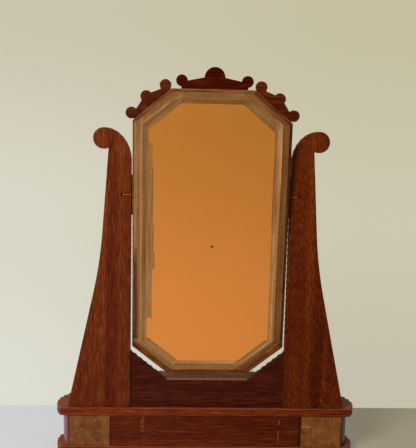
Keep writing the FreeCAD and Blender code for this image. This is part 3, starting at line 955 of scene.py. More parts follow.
CASE_WOOD = PlainBoard("case_softwood", Grain.FRONT_TO_BACK, shades((120, 82, 44), (160, 118, 70)))
DRAWER_SHADES = shades((150, 112, 66), (190, 152, 100))
DRAWER_SIDE_WOOD = PlainBoard("drawer_side_boards", Grain.FRONT_TO_BACK, DRAWER_SHADES)
DRAWER_CROSS_WOOD = PlainBoard("drawer_cross_boards", Grain.ACROSS, DRAWER_SHADES)
TAPE_PAPER = GummedPaper(
    "gummed_paper",
    (
        (0.0, colour(72, 40, 8)), (0.35, colour(112, 71, 29)), (0.6, colour(142, 98, 54)),
        (0.8, colour(166, 120, 77)), (1.0, colour(206, 166, 124)),
    ),
)
PIN_WIRE = DullMetal("pin_wire", colour(176, 104, 42), colour(96, 50, 18), 0.75)
BRAD_STEEL = DullMetal("brad_steel", colour(74, 34, 20), colour(44, 14, 6), 0.2)
SCREW_STEEL = DullMetal("screw_steel", colour(120, 114, 106), colour(70, 46, 32))


# ---- Workshop ------------------------------------------------------------------------


@dataclass(frozen=True)
class Easing:
    """How far a wooden piece's sharp edges are rounded.

    Attributes:
        width: The rounding's width.
        segments: Faces across it.
        sharper_than: The angle of the flattest edge that is rounded.
        shares: Shares of the width, tried until small details leave room for it.
    """

    width: float = 0.35 * MM
    segments: int = 2
    sharper_than: float = math.radians(38)
    shares: tuple[float, ...] = (1.0, 0.5, 0.25, 0.1)


FINE_EASING = Easing(0.18 * MM)


def new_piece(
    name: str, vertices: Iterable[Sequence[float]], faces: Iterable[Sequence[int]]
) -> bpy.types.Object:
    """Makes an object from points and faces.

    Args:
        name: The object's name.
        vertices: The points.
        faces: The corners of each face.

    Returns:
        The object, in the scene.
    """
    mesh = bpy.data.meshes.new(name)
    mesh.from_pydata([tuple(point) for point in vertices], [], [tuple(face) for face in faces])
    mesh.update()
    made = bpy.data.objects.new(name, mesh)
    bpy.context.scene.collection.objects.link(made)
    return made


def box_round(points: Sequence[Vector]) -> tuple[Vector, Vector]:
    """The lowest and highest corners of the box round some points."""
    axes = list(zip(*points))
    return Vector([min(axis) for axis in axes]), Vector([max(axis) for axis in axes])


def welded(node: str) -> bmesh.types.BMesh:
    """A CAD node's mesh with its corners joined again and its flat faces whole.

    Args:
        node: The CAD node.

    Returns:
        The mesh, which the caller frees.
    """
    shape = bmesh.new()
    shape.from_mesh(frame["nodes"][node].data)
    bmesh.ops.remove_doubles(shape, verts=shape.verts, dist=0.001 * MM)
    flat = math.radians(0.5)
    bmesh.ops.dissolve_limit(shape, angle_limit=flat, verts=shape.verts, edges=shape.edges)
    return shape


def island_middles(node: str) -> list[Vector]:
    """The middles of the boxes round a CAD node's separate solids.

    Args:
        node: The CAD node.

    Returns:
        The middles, in order of x, y and z.
    """
    shape = welded(node)
    waiting, middles = set(shape.verts), []
    while waiting:
        reached, front = [], [waiting.pop()]
        while front:
            corner = front.pop()
            reached.append(corner.co)
            beside = {edge.other_vert(corner) for edge in corner.link_edges} & waiting
            waiting -= beside
            front.extend(beside)
        low, high = box_round(reached)
        middles.append((low + high) / 2)
    shape.free()
    return sorted(middles, key=tuple)


def baked(piece: bpy.types.Object) -> bpy.types.Mesh:
    """Applies a piece's modifiers.

    Args:
        piece: The piece.

    Returns:
        Its new plain mesh.
    """
    bpy.context.view_layer.update()
    graph = bpy.context.evaluated_depsgraph_get()
    seen = piece.evaluated_get(graph)
    mesh = bpy.data.meshes.new_from_object(seen, preserve_all_data_layers=True, depsgraph=graph)
    piece.modifiers.clear()
    piece.data = mesh
    return mesh


def is_sound(mesh: bpy.types.Mesh, sliver: float = 1e-6, stretch: float = 1e-3) -> bool:
    """Whether no face of a mesh folds over itself, slivers aside.

    Args:
        mesh: The mesh.
        sliver: The largest fold that doesn't show, in square metres.
        stretch: The largest share by which the triangles may outgrow their faces.

    Returns:
        Whether it is sound.
    """
    mesh.calc_loop_triangles()
    whole = sum(polygon.area for polygon in mesh.polygons)
    in_triangles = sum(triangle.area for triangle in mesh.loop_triangles)
    folded = any(
        triangle.normal.dot(mesh.polygons[triangle.polygon_index].normal) < 0
        for triangle in mesh.loop_triangles
        if triangle.area > sliver
    )
    return not folded and abs(in_triangles / whole - 1) < stretch


def eased(node: str, finish: bpy.types.Material, easing: Easing = Easing()) -> bpy.types.Object:
    """A copy of a CAD node with rounded edges, which the mesh marks as rubbed.

    Args:
        node: The CAD node.
        finish: The material.
        easing: How far the edges are rounded.

    Returns:
        The copy.
    """
    shape = welded(node)
    shape.verts.index_update()
    points = [corner.co.copy() for corner in shape.verts]
    faces = [[corner.index for corner in face.verts] for face in shape.faces]
    shape.free()
    piece = new_piece(node + "_eased", points, faces)
    sharp = piece.data
    for _ in range(2):
        sharp.materials.append(finish)
    sharp.shade_smooth()
    for share in easing.shares:
        piece.data = sharp
        bevel = piece.modifiers.new("easing", "BEVEL")
        bevel.width, bevel.segments = easing.width * share, easing.segments
        bevel.limit_method, bevel.angle_limit = "ANGLE", easing.sharper_than
        bevel.use_clamp_overlap, bevel.harden_normals = False, True
        bevel.material = 1
        mesh = baked(piece)
        if is_sound(mesh):
            break
    mesh.name = piece.name
    rubbed = mesh.attributes.new("rubbed", "FLOAT", "CORNER")
    for polygon in mesh.polygons:
        for corner in polygon.loop_indices:
            rubbed.data[corner].value = float(polygon.material_index == 1)
        polygon.material_index = 0
    mesh.materials.pop(index=1)
    return piece


def put_on(piece: bpy.types.Object, body: str, node: str) -> None:
    """Seats a finished piece on its body, in the place of a CAD node.

    Args:
        piece: The piece.
        body: The body that carries it.
        node: The CAD node that it stands for.
    """
    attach(piece, body)
    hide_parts(node)
    log.info("%s: %d faces on %s", piece.name, len(piece.data.polygons), body)


@dataclass(frozen=True)
class Wear:
    """Painted sheen, light and shade on a board, with a dusty mottle. Every number is from 0 to 1.

    Attributes:
        dust: How much paler colour lies on the faces that look up: a painted sheen on the boards,
            painted light in the mirror's shadow on the lower panel, with a dusty mottle.
        rear: The share of it that is left at the rear edge; from there it grows to the full amount
            at the front, in the mirror's shadow on the lower panel.
        arris: How pale the upper rear arris is made.
        grime: How dark the painted shade on the rim of a round end is.
        top_grime: The share of that which darkens the faces that look up.
    """

    dust: float
    rear: float = 1.0
    arris: float = 0.0
    grime: float = 0.0
    top_grime: float = 0.6

    # How far a face's normal has to lean to count as level, slanting or at a round end.
    LEVEL, SLANTING, ROUND_THE_END = 0.9, 0.3, 0.2

    def mark(self, piece: bpy.types.Object) -> None:
        """Writes the painted light and shade on a piece's mesh, for its finish to read.

        Args:
            piece: The piece.
        """
        mesh = piece.data
        for name in ("dust", "grime"):
            mesh.attributes.new(name, "FLOAT", "CORNER")
        pale, dark = mesh.attributes["dust"], mesh.attributes["grime"]
        depths = [vertex.co.y for vertex in mesh.vertices]
        front, deep = min(depths), max(depths) - min(depths)
        for polygon in mesh.polygons:
            normal = polygon.normal
            looks_up = normal.z > self.LEVEL
            on_arris = not looks_up and min(normal.y, normal.z) > self.SLANTING
            on_rim = abs(normal.x) > self.ROUND_THE_END and abs(normal.z) < self.LEVEL
            share = 1.0 if on_rim else self.top_grime if looks_up else 0.0
            for corner in polygon.loop_indices:
                back = (mesh.vertices[mesh.loops[corner].vertex_index].co.y - front) / deep
                lying = self.dust * (1.0 - (1.0 - self.rear) * back) if looks_up else 0.0
                pale.data[corner].value = self.arris if on_arris else lying
                dark.data[corner].value = self.grime * share


@dataclass
class Joinery:
    """A sub-assembly of wooden pieces."""

    finishes: Finishes

    def dress(
        self,
        node: str,
        finish: Finish,
        body: str,
        slot: str,
        easing: Easing = Easing(),
        wear: Wear | None = None,
    ) -> None:
        """Puts an eased and finished copy of a CAD node in its place.

        Args:
            node: The CAD node.
            finish: The wood.
            body: The body that carries it.
            slot: The record's material slot, which is not used.
            easing: How far its edges are rounded.
            wear: Its painted light and shade, with a dusty mottle.
        """
        piece = eased(node, self.finishes.of(finish), easing)
        if wear is not None:
            wear.mark(piece)
        put_on(piece, body, node)

    def repaint(self, node: str, finish: Finish) -> None:
        """Gives a CAD node, kept as it is, a new material.

        Args:
            node: The CAD node.
            finish: Its finish.
        """
        kept = frame["nodes"][node].data
        kept.materials.clear()
        kept.materials.append(self.finishes.of(finish))
        log.info("%s: repainted", node)


# ---- Base ----------------------------------------------------------------------------


@dataclass
class Base(Joinery):
    """The boards, the case between them, the round-ended blocks and the lower panel."""

    # Painted sheen on the boards' tops, a paler upper rear arris, and painted shade on the rims of
    # the round ends and on the tops.
    board_wear: Wear = Wear(0.24, arris=0.65, grime=0.6)
    # Painted light on the lower panel's top, fullest at the front, where the mirror's shadow falls.
    apron_wear: Wear = Wear(1.0, rear=0.4)

    def build(self) -> None:
        """Makes every piece of the base."""
        for node in ("bottom_board", "top_board"):
            self.dress(node, BOARD_WOOD, "base", "mahogany", wear=self.board_wear)
        self.dress("back_panel", PANEL_WOOD, "base", "mahogany_panel")
        self.dress("lower_panel", APRON_WOOD, "base", "mahogany", wear=self.apron_wear)
        for side in ("left", "right"):
            kinds = (
                ("pedestal_block_", BLOCK_WOODS[side], "softwood"),
                ("pedestal_facing_", FACING_WOODS[side], "mahogany_facing"),
                ("front_infill_", FRONT_WOOD, "mahogany"),
                ("drawer_partition_", CASE_WOOD, "softwood"),
            )
            for stem, finish, slot in kinds:
                self.dress(stem + side, finish, "base", slot, FINE_EASING)


@dataclass
class Uprights(Joinery):
    """The two scrolled uprights, their dowels and the bent wire pins of the swing."""

    easing: Easing = Easing(0.45 * MM, 3)

    def build(self) -> None:
        """Makes both uprights."""
        for side in ("left", "right"):
            self.dress("upright_" + side, UPRIGHT_WOODS[side], "base", "mahogany", self.easing)
            self.repaint("upright_dowels_" + side, CASE_WOOD)
            self.repaint("pivot_pin_" + side, PIN_WIRE)
            self.dress("pivot_pad_" + side, PAD_WOOD, "mirror", "mahogany", FINE_EASING)


# ---- Mirror --------------------------------------------------------------------------


@dataclass(frozen=True)
class Lean:
    """How the mirror leans back at rest: drawn upright, then turned about its pivots."""

    pivot: Vector
    angle: float = math.radians(3.5)

    @classmethod
    def of_hinge(cls) -> "Lean":
        """Takes the pivot from the mirror's hinge."""
        hinge = next(joint for joint in frame["joints"] if joint["type"] == "hinge")
        return cls(Vector(hinge["pos_m"]))

    def turn(self) -> Matrix:
        """The turn from upright to rest."""
        there, back = Matrix.Translation(self.pivot), Matrix.Translation(-self.pivot)
        return there @ Matrix.Rotation(-self.angle, 4, "X") @ back

    def direction(self, upright: Sequence[float]) -> Vector:
        """A direction of the upright mirror, as it is at rest."""
        return self.turn().to_3x3() @ Vector(upright)

    def upright_box(self, node: str) -> tuple[Vector, Vector]:
        """A CAD node's lowest and highest corners, once the mirror is turned upright."""
        back = self.turn().inverted()
        return box_round([back @ vertex.co for vertex in frame["nodes"][node].data.vertices])


@dataclass
class MirrorFrame(Joinery):
    """The eight mitred rails, the painted glass and the fretted crest.

    Attributes:
        lean: How the mirror leans.
        easing: How far the edges are rounded.
        speck: The x and z of a speck in the paint, with the mirror upright, in millimetres.
        paint: The paint's colours at the top and at the bottom; the darker top is painted shade.
    """

    lean: Lean
    easing: Easing = Easing(0.4 * MM)
    speck: tuple[float, float] = (-2.5, 288.5)
    paint: tuple[Colour, ...] = shades((175, 110, 40), (213, 132, 59))

    GRAINS = {
        "left": Grain.UPRIGHT,
        "right": Grain.UPRIGHT,
        "top": Grain.ACROSS,
        "bottom": Grain.ACROSS,
        "upper_left": Grain.RISING,
        "lower_right": Grain.RISING,
        "upper_right": Grain.FALLING,
        "lower_left": Grain.FALLING,
    }
    # The other rails take the darker lower wood; on upper_left that darkness is also painted shade
    # along its bare outer edge, below the crest.
    PALE_RAILS = ("right", "upper_right", "top")

    def _glass(self) -> PaintedGlass:
        """The finish of the glass, fitted to its CAD node.

        Returns:
            The finish.
        """
        low, high = self.lean.upright_box("mirror_glass")
        outward, up = self.lean.direction((0, 1, 0)), self.lean.direction((0, 0, 1))
        turn = self.lean.turn()
        bottom, top = (turn @ Vector((0, high.y, z)) for z in (low.z, high.z))
        speck = turn @ Vector((self.speck[0] * MM, high.y, self.speck[1] * MM))
        levels = bottom.dot(outward), bottom.dot(up), top.dot(up)
        spot = speck.x, speck.dot(up)
        return PaintedGlass("painted_mirror_glass", *self.paint, outward, up, *levels, spot)

    def build(self) -> None:
        """Makes the rails, the glass and the crest."""
        for place, grain in self.GRAINS.items():
            wood = rail_wood("upper" if place in self.PALE_RAILS else "lower", grain)
            # the left stile's darker wood is painted shade
            wood = DARK_STILE_WOOD if place == "left" else wood
            self.dress("frame_rail_" + place, wood, "mirror", "mahogany", self.easing)
        self.repaint("mirror_glass", self._glass())
        for place in ("top", "left", "right"):
            wood = TOP_CREST_WOOD if place == "top" else SIDE_CREST_WOOD
            self.dress("crest_" + place, wood, "mirror", "mahogany_crest", self.easing)


# ---- Gummed tape ---------------------------------------------------------------------


RAIL_ORDER = (
    "lower_right", "right", "upper_right", "top", "upper_left", "left", "lower_left", "bottom",
)


def clamped(value: float) -> float:
    """A value kept between 0 and 1."""
    return min(max(value, 0.0), 1.0)


def bell(offset: float, width: float) -> float:
    """1 at an offset of 0, falling to nothing a few widths away."""
    return math.exp(-((offset / width) ** 2))


@dataclass(frozen=True)
class Octagon:
    """The frame's outer edge, seen from the front, and how the back of the frame lies.

    Attributes:
        corners: The corners, from the lower right to the bottom, one before each rail of
            RAIL_ORDER.
        flat_y: The y of the rails' flat back.
        glass_y: The y of the glass's back.
        flat_width: How wide the flat back is.
        slope_run: How far the slope from it to the glass runs inwards.
        slope_bend: The share of the slope's fall that is an S, the rest being straight.
        ridge_height: How far the tape stands up over the fold.
        ridge_width: Half the width of that ridge.
    """

    corners: tuple[Vector, ...]
    flat_y: float
    glass_y: float
    flat_width: float = 12.5 * MM
    slope_run: float = 6.0 * MM
    slope_bend: float = 0.35
    ridge_height: float = 0.16 * MM
    ridge_width: float = 0.9 * MM

    @classmethod
    def of_frame(cls, lean: Lean) -> "Octagon":
        """Reads the octagon from the CAD rails, turned upright.

        Args:
            lean: How the mirror leans.

        Returns:
            The octagon.
        """
        low_right, high_right = lean.upright_box("frame_rail_right")
        _, high_top = lean.upright_box("frame_rail_top")
        low_bottom, _ = lean.upright_box("frame_rail_bottom")
        _, glass_high = lean.upright_box("mirror_glass")
        half, narrow = high_right.x, high_top.x
        low = ((narrow, low_bottom.z), (half, low_right.z))
        high = ((half, high_right.z), (narrow, high_top.z))
        left = tuple((-x, z) for x, z in reversed(low + high))
        return cls(tuple(map(Vector, low + high + left)), high_right.y, glass_high.y)

    def ends(self, rail: int) -> tuple[Vector, Vector]:
        """The two corners of a rail's outer edge."""
        return self.corners[rail], self.corners[(rail + 1) % len(self.corners)]

    def along(self, rail: int) -> Vector:
        """The direction of a rail, from its first corner to its second."""
        first, second = self.ends(rail % len(self.corners))
        return (second - first).normalized()

    def inward(self, rail: int) -> Vector:
        """The direction from a rail's outer edge to the middle."""
        way = self.along(rail)
        return Vector((-way.y, way.x))

    def depth(self, rail: int, spot: Vector) -> float:
        """How far a point lies inside a rail's outer edge."""
        return (spot - self.corners[rail]).dot(self.inward(rail))

    def back(self, spot: Vector) -> float:
        """The y of the frame's back, and of the glass inside it, at a point.

        Args:
            spot: The point, seen from the front.

        Returns:
            The y.
        """
        depth = min(self.depth(rail, spot) for rail in range(len(self.corners)))
        past_fold = depth - self.flat_width
        fallen = clamped(past_fold / self.slope_run)
        fall = fallen * fallen * (3 - 2 * fallen) * self.slope_bend + fallen * (1 - self.slope_bend)
        ridge = self.ridge_height * bell(past_fold, self.ridge_width)
        return self.flat_y + (self.glass_y - self.flat_y) * fall + ridge


class CutKind(Enum):
    """How the end of a strip is cut."""

    ALONG_NEIGHBOUR = "along the next rail, a set depth inside its outer edge"
    ACROSS_NEIGHBOUR = "square across the next rail, a set distance along it"
    SQUARE = "square across the strip, a set distance from the corner"


@dataclass(frozen=True)
class Cut:
    """One end of a strip. Lengths in millimetres.

    Attributes:
        kind: How it is cut.
        run: The cut's depth or distance.
        curl: How far it stands up.
        least_depth: How far a cut across the next rail stays inside that rail's edge.
    """

    kind: CutKind
    run: float
    curl: float = 0.0
    least_depth: float = 1.5

    def from_corner(self, depth: float, turn: float) -> float:
        """How far along the rail, from the corner, a strip ends at a depth.

        Args:
            depth: The depth inside the rail's outer edge, in metres.
            turn: The angle between the rail and the next.

        Returns:
            The distance in metres, which is below 0 beyond the corner.
        """

        def reaching(inside: float) -> float:
            """Where the strip comes to be some millimetres inside the next rail's edge."""
            return (inside * MM - depth * math.cos(turn)) / math.sin(turn)

        if self.kind is CutKind.SQUARE:
            return self.run * MM
        if self.kind is CutKind.ALONG_NEIGHBOUR:
            return reaching(self.run)
        squared_off = (depth * math.sin(turn) - self.run * MM) / math.cos(turn)
        return max(squared_off, reaching(self.least_depth))


@dataclass(frozen=True)
class Streak:
    """A lighter or darker band along a strip. Lengths in millimetres.

    Attributes:
        near: The depth inside the rail's outer edge where it starts.
        far: The depth where it ends.
        shade: How much lighter it is, or darker where it is below 0.
        start: Where along the rail it starts, from 0 to 1.
        end: Where it ends.
        soft: How softly its sides fade.
        soft_ends: How softly it starts and ends, as a share of the rail's length.
    """

    near: float
    far: float
    shade: float
    start: float = -1.0
    end: float = 2.0
    soft: float = 1.0
    soft_ends: float = 0.1

    def at(self, depth: float, share: float) -> float:
        """Its shade at a point.

        Args:
            depth: The depth inside the rail's outer edge, in metres.
            share: How far along the rail the point is, from 0 to 1.

        Returns:
            The shade.
        """
        inside = min(depth / MM - self.near, self.far - depth / MM) / self.soft
        between = min(share - self.start, self.end - share) / self.soft_ends
        return self.shade * clamped(inside + 0.5) * clamped(between + 0.5)


@dataclass(frozen=True)
class Strip:
    """One strip of tape on one rail. Lengths in millimetres.

    Attributes:
        rail: The rail that it lies on.
        margin: The bare wood outside it.
        reach: How far in from the rail's outer edge it reaches.
        first: Its cut at the rail's first corner.
        last: Its cut at the second.
        layer: How many strips may lie under it.
        tone: How light it is, from 0 to 1.
        streaks: Its lighter and darker bands: stains, and painted highlights and shade along the
            fold.
        steps: Places along the rail, from 0 to 1, where its torn inner edge changes, and
            its reach up to there.
    """

    rail: str
    margin: float
    reach: float
    first: Cut
    last: Cut
    layer: int
    tone: float
    streaks: tuple[Streak, ...] = ()
    steps: tuple[tuple[float, float], ...] = ()

    def ends_at(self, depth: float, turns: Sequence[float], length: float) -> tuple[float, float]:
        """Where along the rail it starts and ends at a depth.

        Args:
            depth: The depth inside the rail's outer edge, in metres.
            turns: The angles between the rail and the ones before and after it.
            length: The rail's length in metres.

        Returns:
            The two distances from the rail's first corner, in metres.
        """
        before, after = turns
        return self.first.from_corner(depth, before), length - self.last.from_corner(depth, after)

    def reach_at(self, share: float) -> float:
        """The depth of its inner edge, in metres, at a share of the rail's length."""
        return next((reach for until, reach in self.steps if share <= until), self.reach) * MM

    def tone_at(self, depth: float, share: float) -> float:
        """How light it is at a depth in metres, and at a share of the rail's length."""
        return self.tone + sum(streak.at(depth, share) for streak in self.streaks)


def along(run: float, curl: float = 0.0) -> Cut:
    """A cut along the next rail, run millimetres inside its outer edge."""
    return Cut(CutKind.ALONG_NEIGHBOUR, run, curl)


def across(run: float, curl: float) -> Cut:
    """A cut square across the next rail, run millimetres along it."""
    return Cut(CutKind.ACROSS_NEIGHBOUR, run, curl)


def square(run: float, curl: float) -> Cut:
    """A cut square across the strip, run millimetres from the corner."""
    return Cut(CutKind.SQUARE, run, curl)


INNER = 40.0  # beyond any strip's reach, so a streak with this far side runs to the inner edge

TAPES = (
    Strip(
        "right", 1.9, 20.4, along(7.0), along(4.2), layer=0, tone=0.56,
        streaks=(
            # painted highlight along the fold's ridge
            Streak(10.2, 12.0, 0.2),
            Streak(0.0, 6.8, -0.46, end=0.42, soft=3.0),
            Streak(2.6, 4.2, 0.1, start=0.48),
            Streak(14.6, 17.0, -0.07, start=0.4),
            Streak(13.0, INNER, 0.08, end=0.4),
            Streak(12.4, INNER, 0.06),
        ),
        steps=((0.134, 19.0), (0.364, 25.7), (0.43, 28.8), (0.55, 27.2), (0.80, 26.4), (0.9, 25.2)),
    ),
    Strip(
        "left", 3.7, 20.9, along(9.5, 0.8), along(7.0, 0.4), layer=2, tone=0.34,
        streaks=(
            # the slope faces the lamp: the lighter streaks from the fold inwards are painted light
            Streak(12.3, INNER, 0.37, end=0.45),
            Streak(16.6, INNER, -0.17, end=0.45, soft=3.0),
            Streak(13.0, INNER, 0.26, start=0.45),
            Streak(16.0, INNER, 0.14, start=0.45),
            Streak(10.4, 12.0, -0.08),
            # painted highlight on the ridge near the top
            Streak(12.0, 13.4, 0.12, end=0.28),
            Streak(14.6, 15.4, -0.14, start=0.82),
        ),
        steps=((0.45, 21.8),),
    ),
    Strip(
        "upper_right", 4.2, 21.5, along(12.5), along(4.0), layer=1, tone=0.51,
        streaks=(
            # painted highlight along the fold's ridge
            Streak(9.6, 12.8, 0.16, 0.1, 0.8),
            Streak(10.6, 12.2, 0.14, 0.55, 0.7),
            Streak(5.4, 6.2, -0.1),
            # painted light against the shade of a slope that faces down
            Streak(12.8, INNER, 0.08),
        ),
    ),
    Strip(
        "upper_left", 4.3, 23.1, along(4.0), along(3.7), layer=1, tone=0.51,
        streaks=(Streak(0.0, 9.5, -0.13), Streak(5.6, 6.6, -0.1), Streak(7.0, 8.2, 0.14, 0.0, 0.4)),
    ),
    Strip("top", 4.0, 17.9, square(12.5, 0.1), square(13.5, 0.0), layer=2, tone=0.48),
    Strip(
        "lower_right", 7.0, 22.5, along(7.0), across(11.0, 0.2), layer=1, tone=0.63,
        streaks=(Streak(0.0, 12.8, -0.1, soft=2.0), Streak(0.0, 9.0, -0.1, soft=2.0)),
    ),
    Strip(
        "lower_left", 7.0, 22.2, across(9.0, 0.5), along(7.0), layer=3, tone=0.61,
        streaks=(Streak(0.0, 15.0, -0.34), Streak(13.6, 15.0, -0.06)),
    ),
    Strip(
        "bottom", 7.0, 18.8, square(8.0, 0.3), square(7.5, 0.3), layer=2, tone=0.6,
        # the dark streak at the fold is painted shadow along the ridge
        streaks=(Streak(13.0, 14.8, -0.24), Streak(14.8, INNER, 0.12)),
    ),
)


@dataclass
class GummedTape:
    """Strips of gummed paper that close the gap between the frame and the glass.

    Attributes:
        finishes: Every material.
        lean: How the mirror leans.
        octagon: The frame that the strips lie on.
        thickness: The paper's thickness.
        first_lift: How far the middle of the lowest strips stands off the wood.
        layer_lift: How much further that of each strip above stands.
        step: The length of a face along a strip.
        wrinkle: The height of the wrinkles.
        edge_waver: How far the torn inner edge wavers.
        torn_width: How far in from that edge the painted shadow of the paper's edge reaches.
        torn_shade: How dark that painted shadow is.
        curl_length: How far back from a cut the curl reaches.
        fold_width: Half the width of the fold, over which the rows lie closer.
        least_rest: How far a strip at least lies on the glass.
    """

    finishes: Finishes
    lean: Lean
    octagon: Octagon
    thickness: float = 0.2 * MM
    first_lift: float = 0.1 * MM
    layer_lift: float = 0.085 * MM
    step: float = 1.4 * MM
    wrinkle: float = 0.07 * MM
    edge_waver: float = 0.35 * MM
    torn_width: float = 0.5 * MM
    torn_shade: float = 0.14
    curl_length: float = 4.0 * MM
    fold_width: float = 1.6 * MM
    least_rest: float = 0.4 * MM

    def _depths(self, strip: Strip, reach: float) -> list[float]:
        """The depths of the rows across a strip, closer together over the fold.

        Args:
            strip: The strip.
            reach: The depth of its inner edge.

        Returns:
            The depths, from the margin to the inner edge.
        """
        fold = self.octagon.flat_width
        foot = min(fold + self.octagon.slope_run, reach - self.least_rest)
        turns = (strip.margin * MM, fold - self.fold_width, fold + self.fold_width, foot, reach)
        rows = []
        for low, high, count in zip(turns, turns[1:], (8, 9, 6, 5)):
            rows += [low + (high - low) * number / count for number in range(count)]
        return rows + [reach]

    def _lift(self, strip: Strip, spot: Vector, from_first: float, from_last: float) -> float:
        """How far a strip's middle stands off what is below it, with wrinkles and curls.

        Args:
            strip: The strip.
            spot: The point, seen from the front.
            from_first: How far it is from the strip's first cut.
            from_last: How far it is from the last.

        Returns:
            The distance.
        """
        folds = noise.fractal(Vector((spot.x * 140, 0.3, spot.y * 60)), 1.0, 2.0, 3)
        unrest = 0.5 + 0.5 * noise.noise(Vector((spot.x * 400, 7, spot.y * 400)))
        lift = self.first_lift + self.layer_lift * strip.layer + self.wrinkle * folds
        for cut, away in ((strip.first, from_first), (strip.last, from_last)):
            near = max(1 - away / self.curl_length, 0.0)
            lift += cut.curl * MM * near * near * unrest
        return lift

    def _ribbon(self, strip: Strip) -> bpy.types.Object:
        """Drapes one strip over the rail and on to the glass.

        Args:
            strip: The strip.

        Returns:
            A closed ribbon, with its UVs along and across it in metres.
        """
        rail = RAIL_ORDER.index(strip.rail)
        start, end = self.octagon.ends(rail)
        way, inward = self.octagon.along(rail), self.octagon.inward(rail)
        length = (end - start).length
        turns = tuple(way.angle(self.octagon.along(rail + step)) for step in (-1, 1))
        inner_first, inner_last = strip.ends_at(strip.reach * MM, turns, length)
        columns = int(length / self.step)
        points, places, tones = [], [], []
        for column in range(columns + 1):
            share = column / columns
            inner_run = inner_first + (inner_last - inner_first) * share
            reach = strip.reach_at(inner_run / length)
            reach += self.edge_waver * noise.noise(Vector((inner_run * 60, 11.0 * rail, 1.5)))
            for depth in self._depths(strip, reach):
                first, last = strip.ends_at(depth, turns, length)
                run = first + (last - first) * share
                spot = start + way * run + inward * depth
                lift = self._lift(strip, spot, run - first, last - run)
                points.append(Vector((spot.x, self.octagon.back(spot) + lift, spot.y)))
                places.append((run, depth))
                # painted shadow of the paper's thickness along its inner edge
                torn = self.torn_shade * bell(depth - reach, self.torn_width)
                tones.append(strip.tone_at(depth, run / length) - torn)
        return self._closed(strip, columns + 1, points, places, tones)

    def _closed(
        self,
        strip: Strip,
        columns: int,
        points: list[Vector],
        places: list[tuple[float, float]],
        tones: list[float],
    ) -> bpy.types.Object:
        """Gives a draped grid its thickness and the numbers that the paper's finish reads.

        Args:
            strip: The strip.
            columns: Columns along the strip.
            points: The grid's points, column by column.
            places: How far along and across the strip each lies.
            tones: How light the paper is there.

        Returns:
            The ribbon.
        """
        total = len(points)
        rows = total // columns
        below = [point - Vector((0, self.thickness, 0)) for point in points]
        faces = []
        for column in range(columns - 1):
            for row in range(rows - 1):
                corner = column * rows + row
                quad = (corner, corner + 1, corner + rows + 1, corner + rows)
                faces += [quad, tuple(total + number for number in reversed(quad))]
        rim = [column * rows for column in range(columns)]
        rim += [(columns - 1) * rows + row for row in range(1, rows)]
        rim += [column * rows + rows - 1 for column in reversed(range(columns - 1))]
        rim += reversed(range(1, rows - 1))
        for near, far in zip(rim, rim[1:] + rim[:1]):
            faces.append((near, far, total + far, total + near))
        piece = new_piece("gummed_tape_" + strip.rail, points + below, faces)
        mesh = piece.data
        shape = bmesh.new()
        shape.from_mesh(mesh)
        bmesh.ops.recalc_face_normals(shape, faces=shape.faces)
        shape.to_mesh(mesh)
        shape.free()
        lie = mesh.uv_layers.new(name="lie")
        for loop in mesh.loops:
            lie.data[loop.index].uv = places[loop.vertex_index % total]
        mesh.attributes.new("tone", "FLOAT", "POINT").data.foreach_set("value", tones + tones)
        mesh.shade_smooth()
        mesh.set_sharp_from_angle(angle=math.radians(45))
        return piece

    def build(self) -> None:
        """Makes every strip."""
        for strip in TAPES:
            ribbon = self._ribbon(strip)
            ribbon.data.transform(self.lean.turn())
            ribbon.data.materials.append(self.finishes.of(TAPE_PAPER))
            put_on(ribbon, "mirror", "tape_" + strip.rail)


# ---- Drawer --------------------------------------------------------------------------


@dataclass
class Drawer(Joinery):
    """The drawer's front, box and turned knob."""

    BOARDS = {
        "drawer_back": DRAWER_CROSS_WOOD,
        "drawer_bottom": DRAWER_CROSS_WOOD,
        "drawer_side_left": DRAWER_SIDE_WOOD,
        "drawer_side_right": DRAWER_SIDE_WOOD,
    }

    def build(self) -> None:
        """Makes every wooden piece of the drawer."""
        self.dress("drawer_front", FRONT_WOOD, "drawer", "mahogany")
        for node, finish in self.BOARDS.items():
            self.dress(node, finish, "drawer", "drawer_wood")
        self.repaint("drawer_knob", KNOB_WOOD)


# ---- Fasteners -----------------------------------------------------------------------


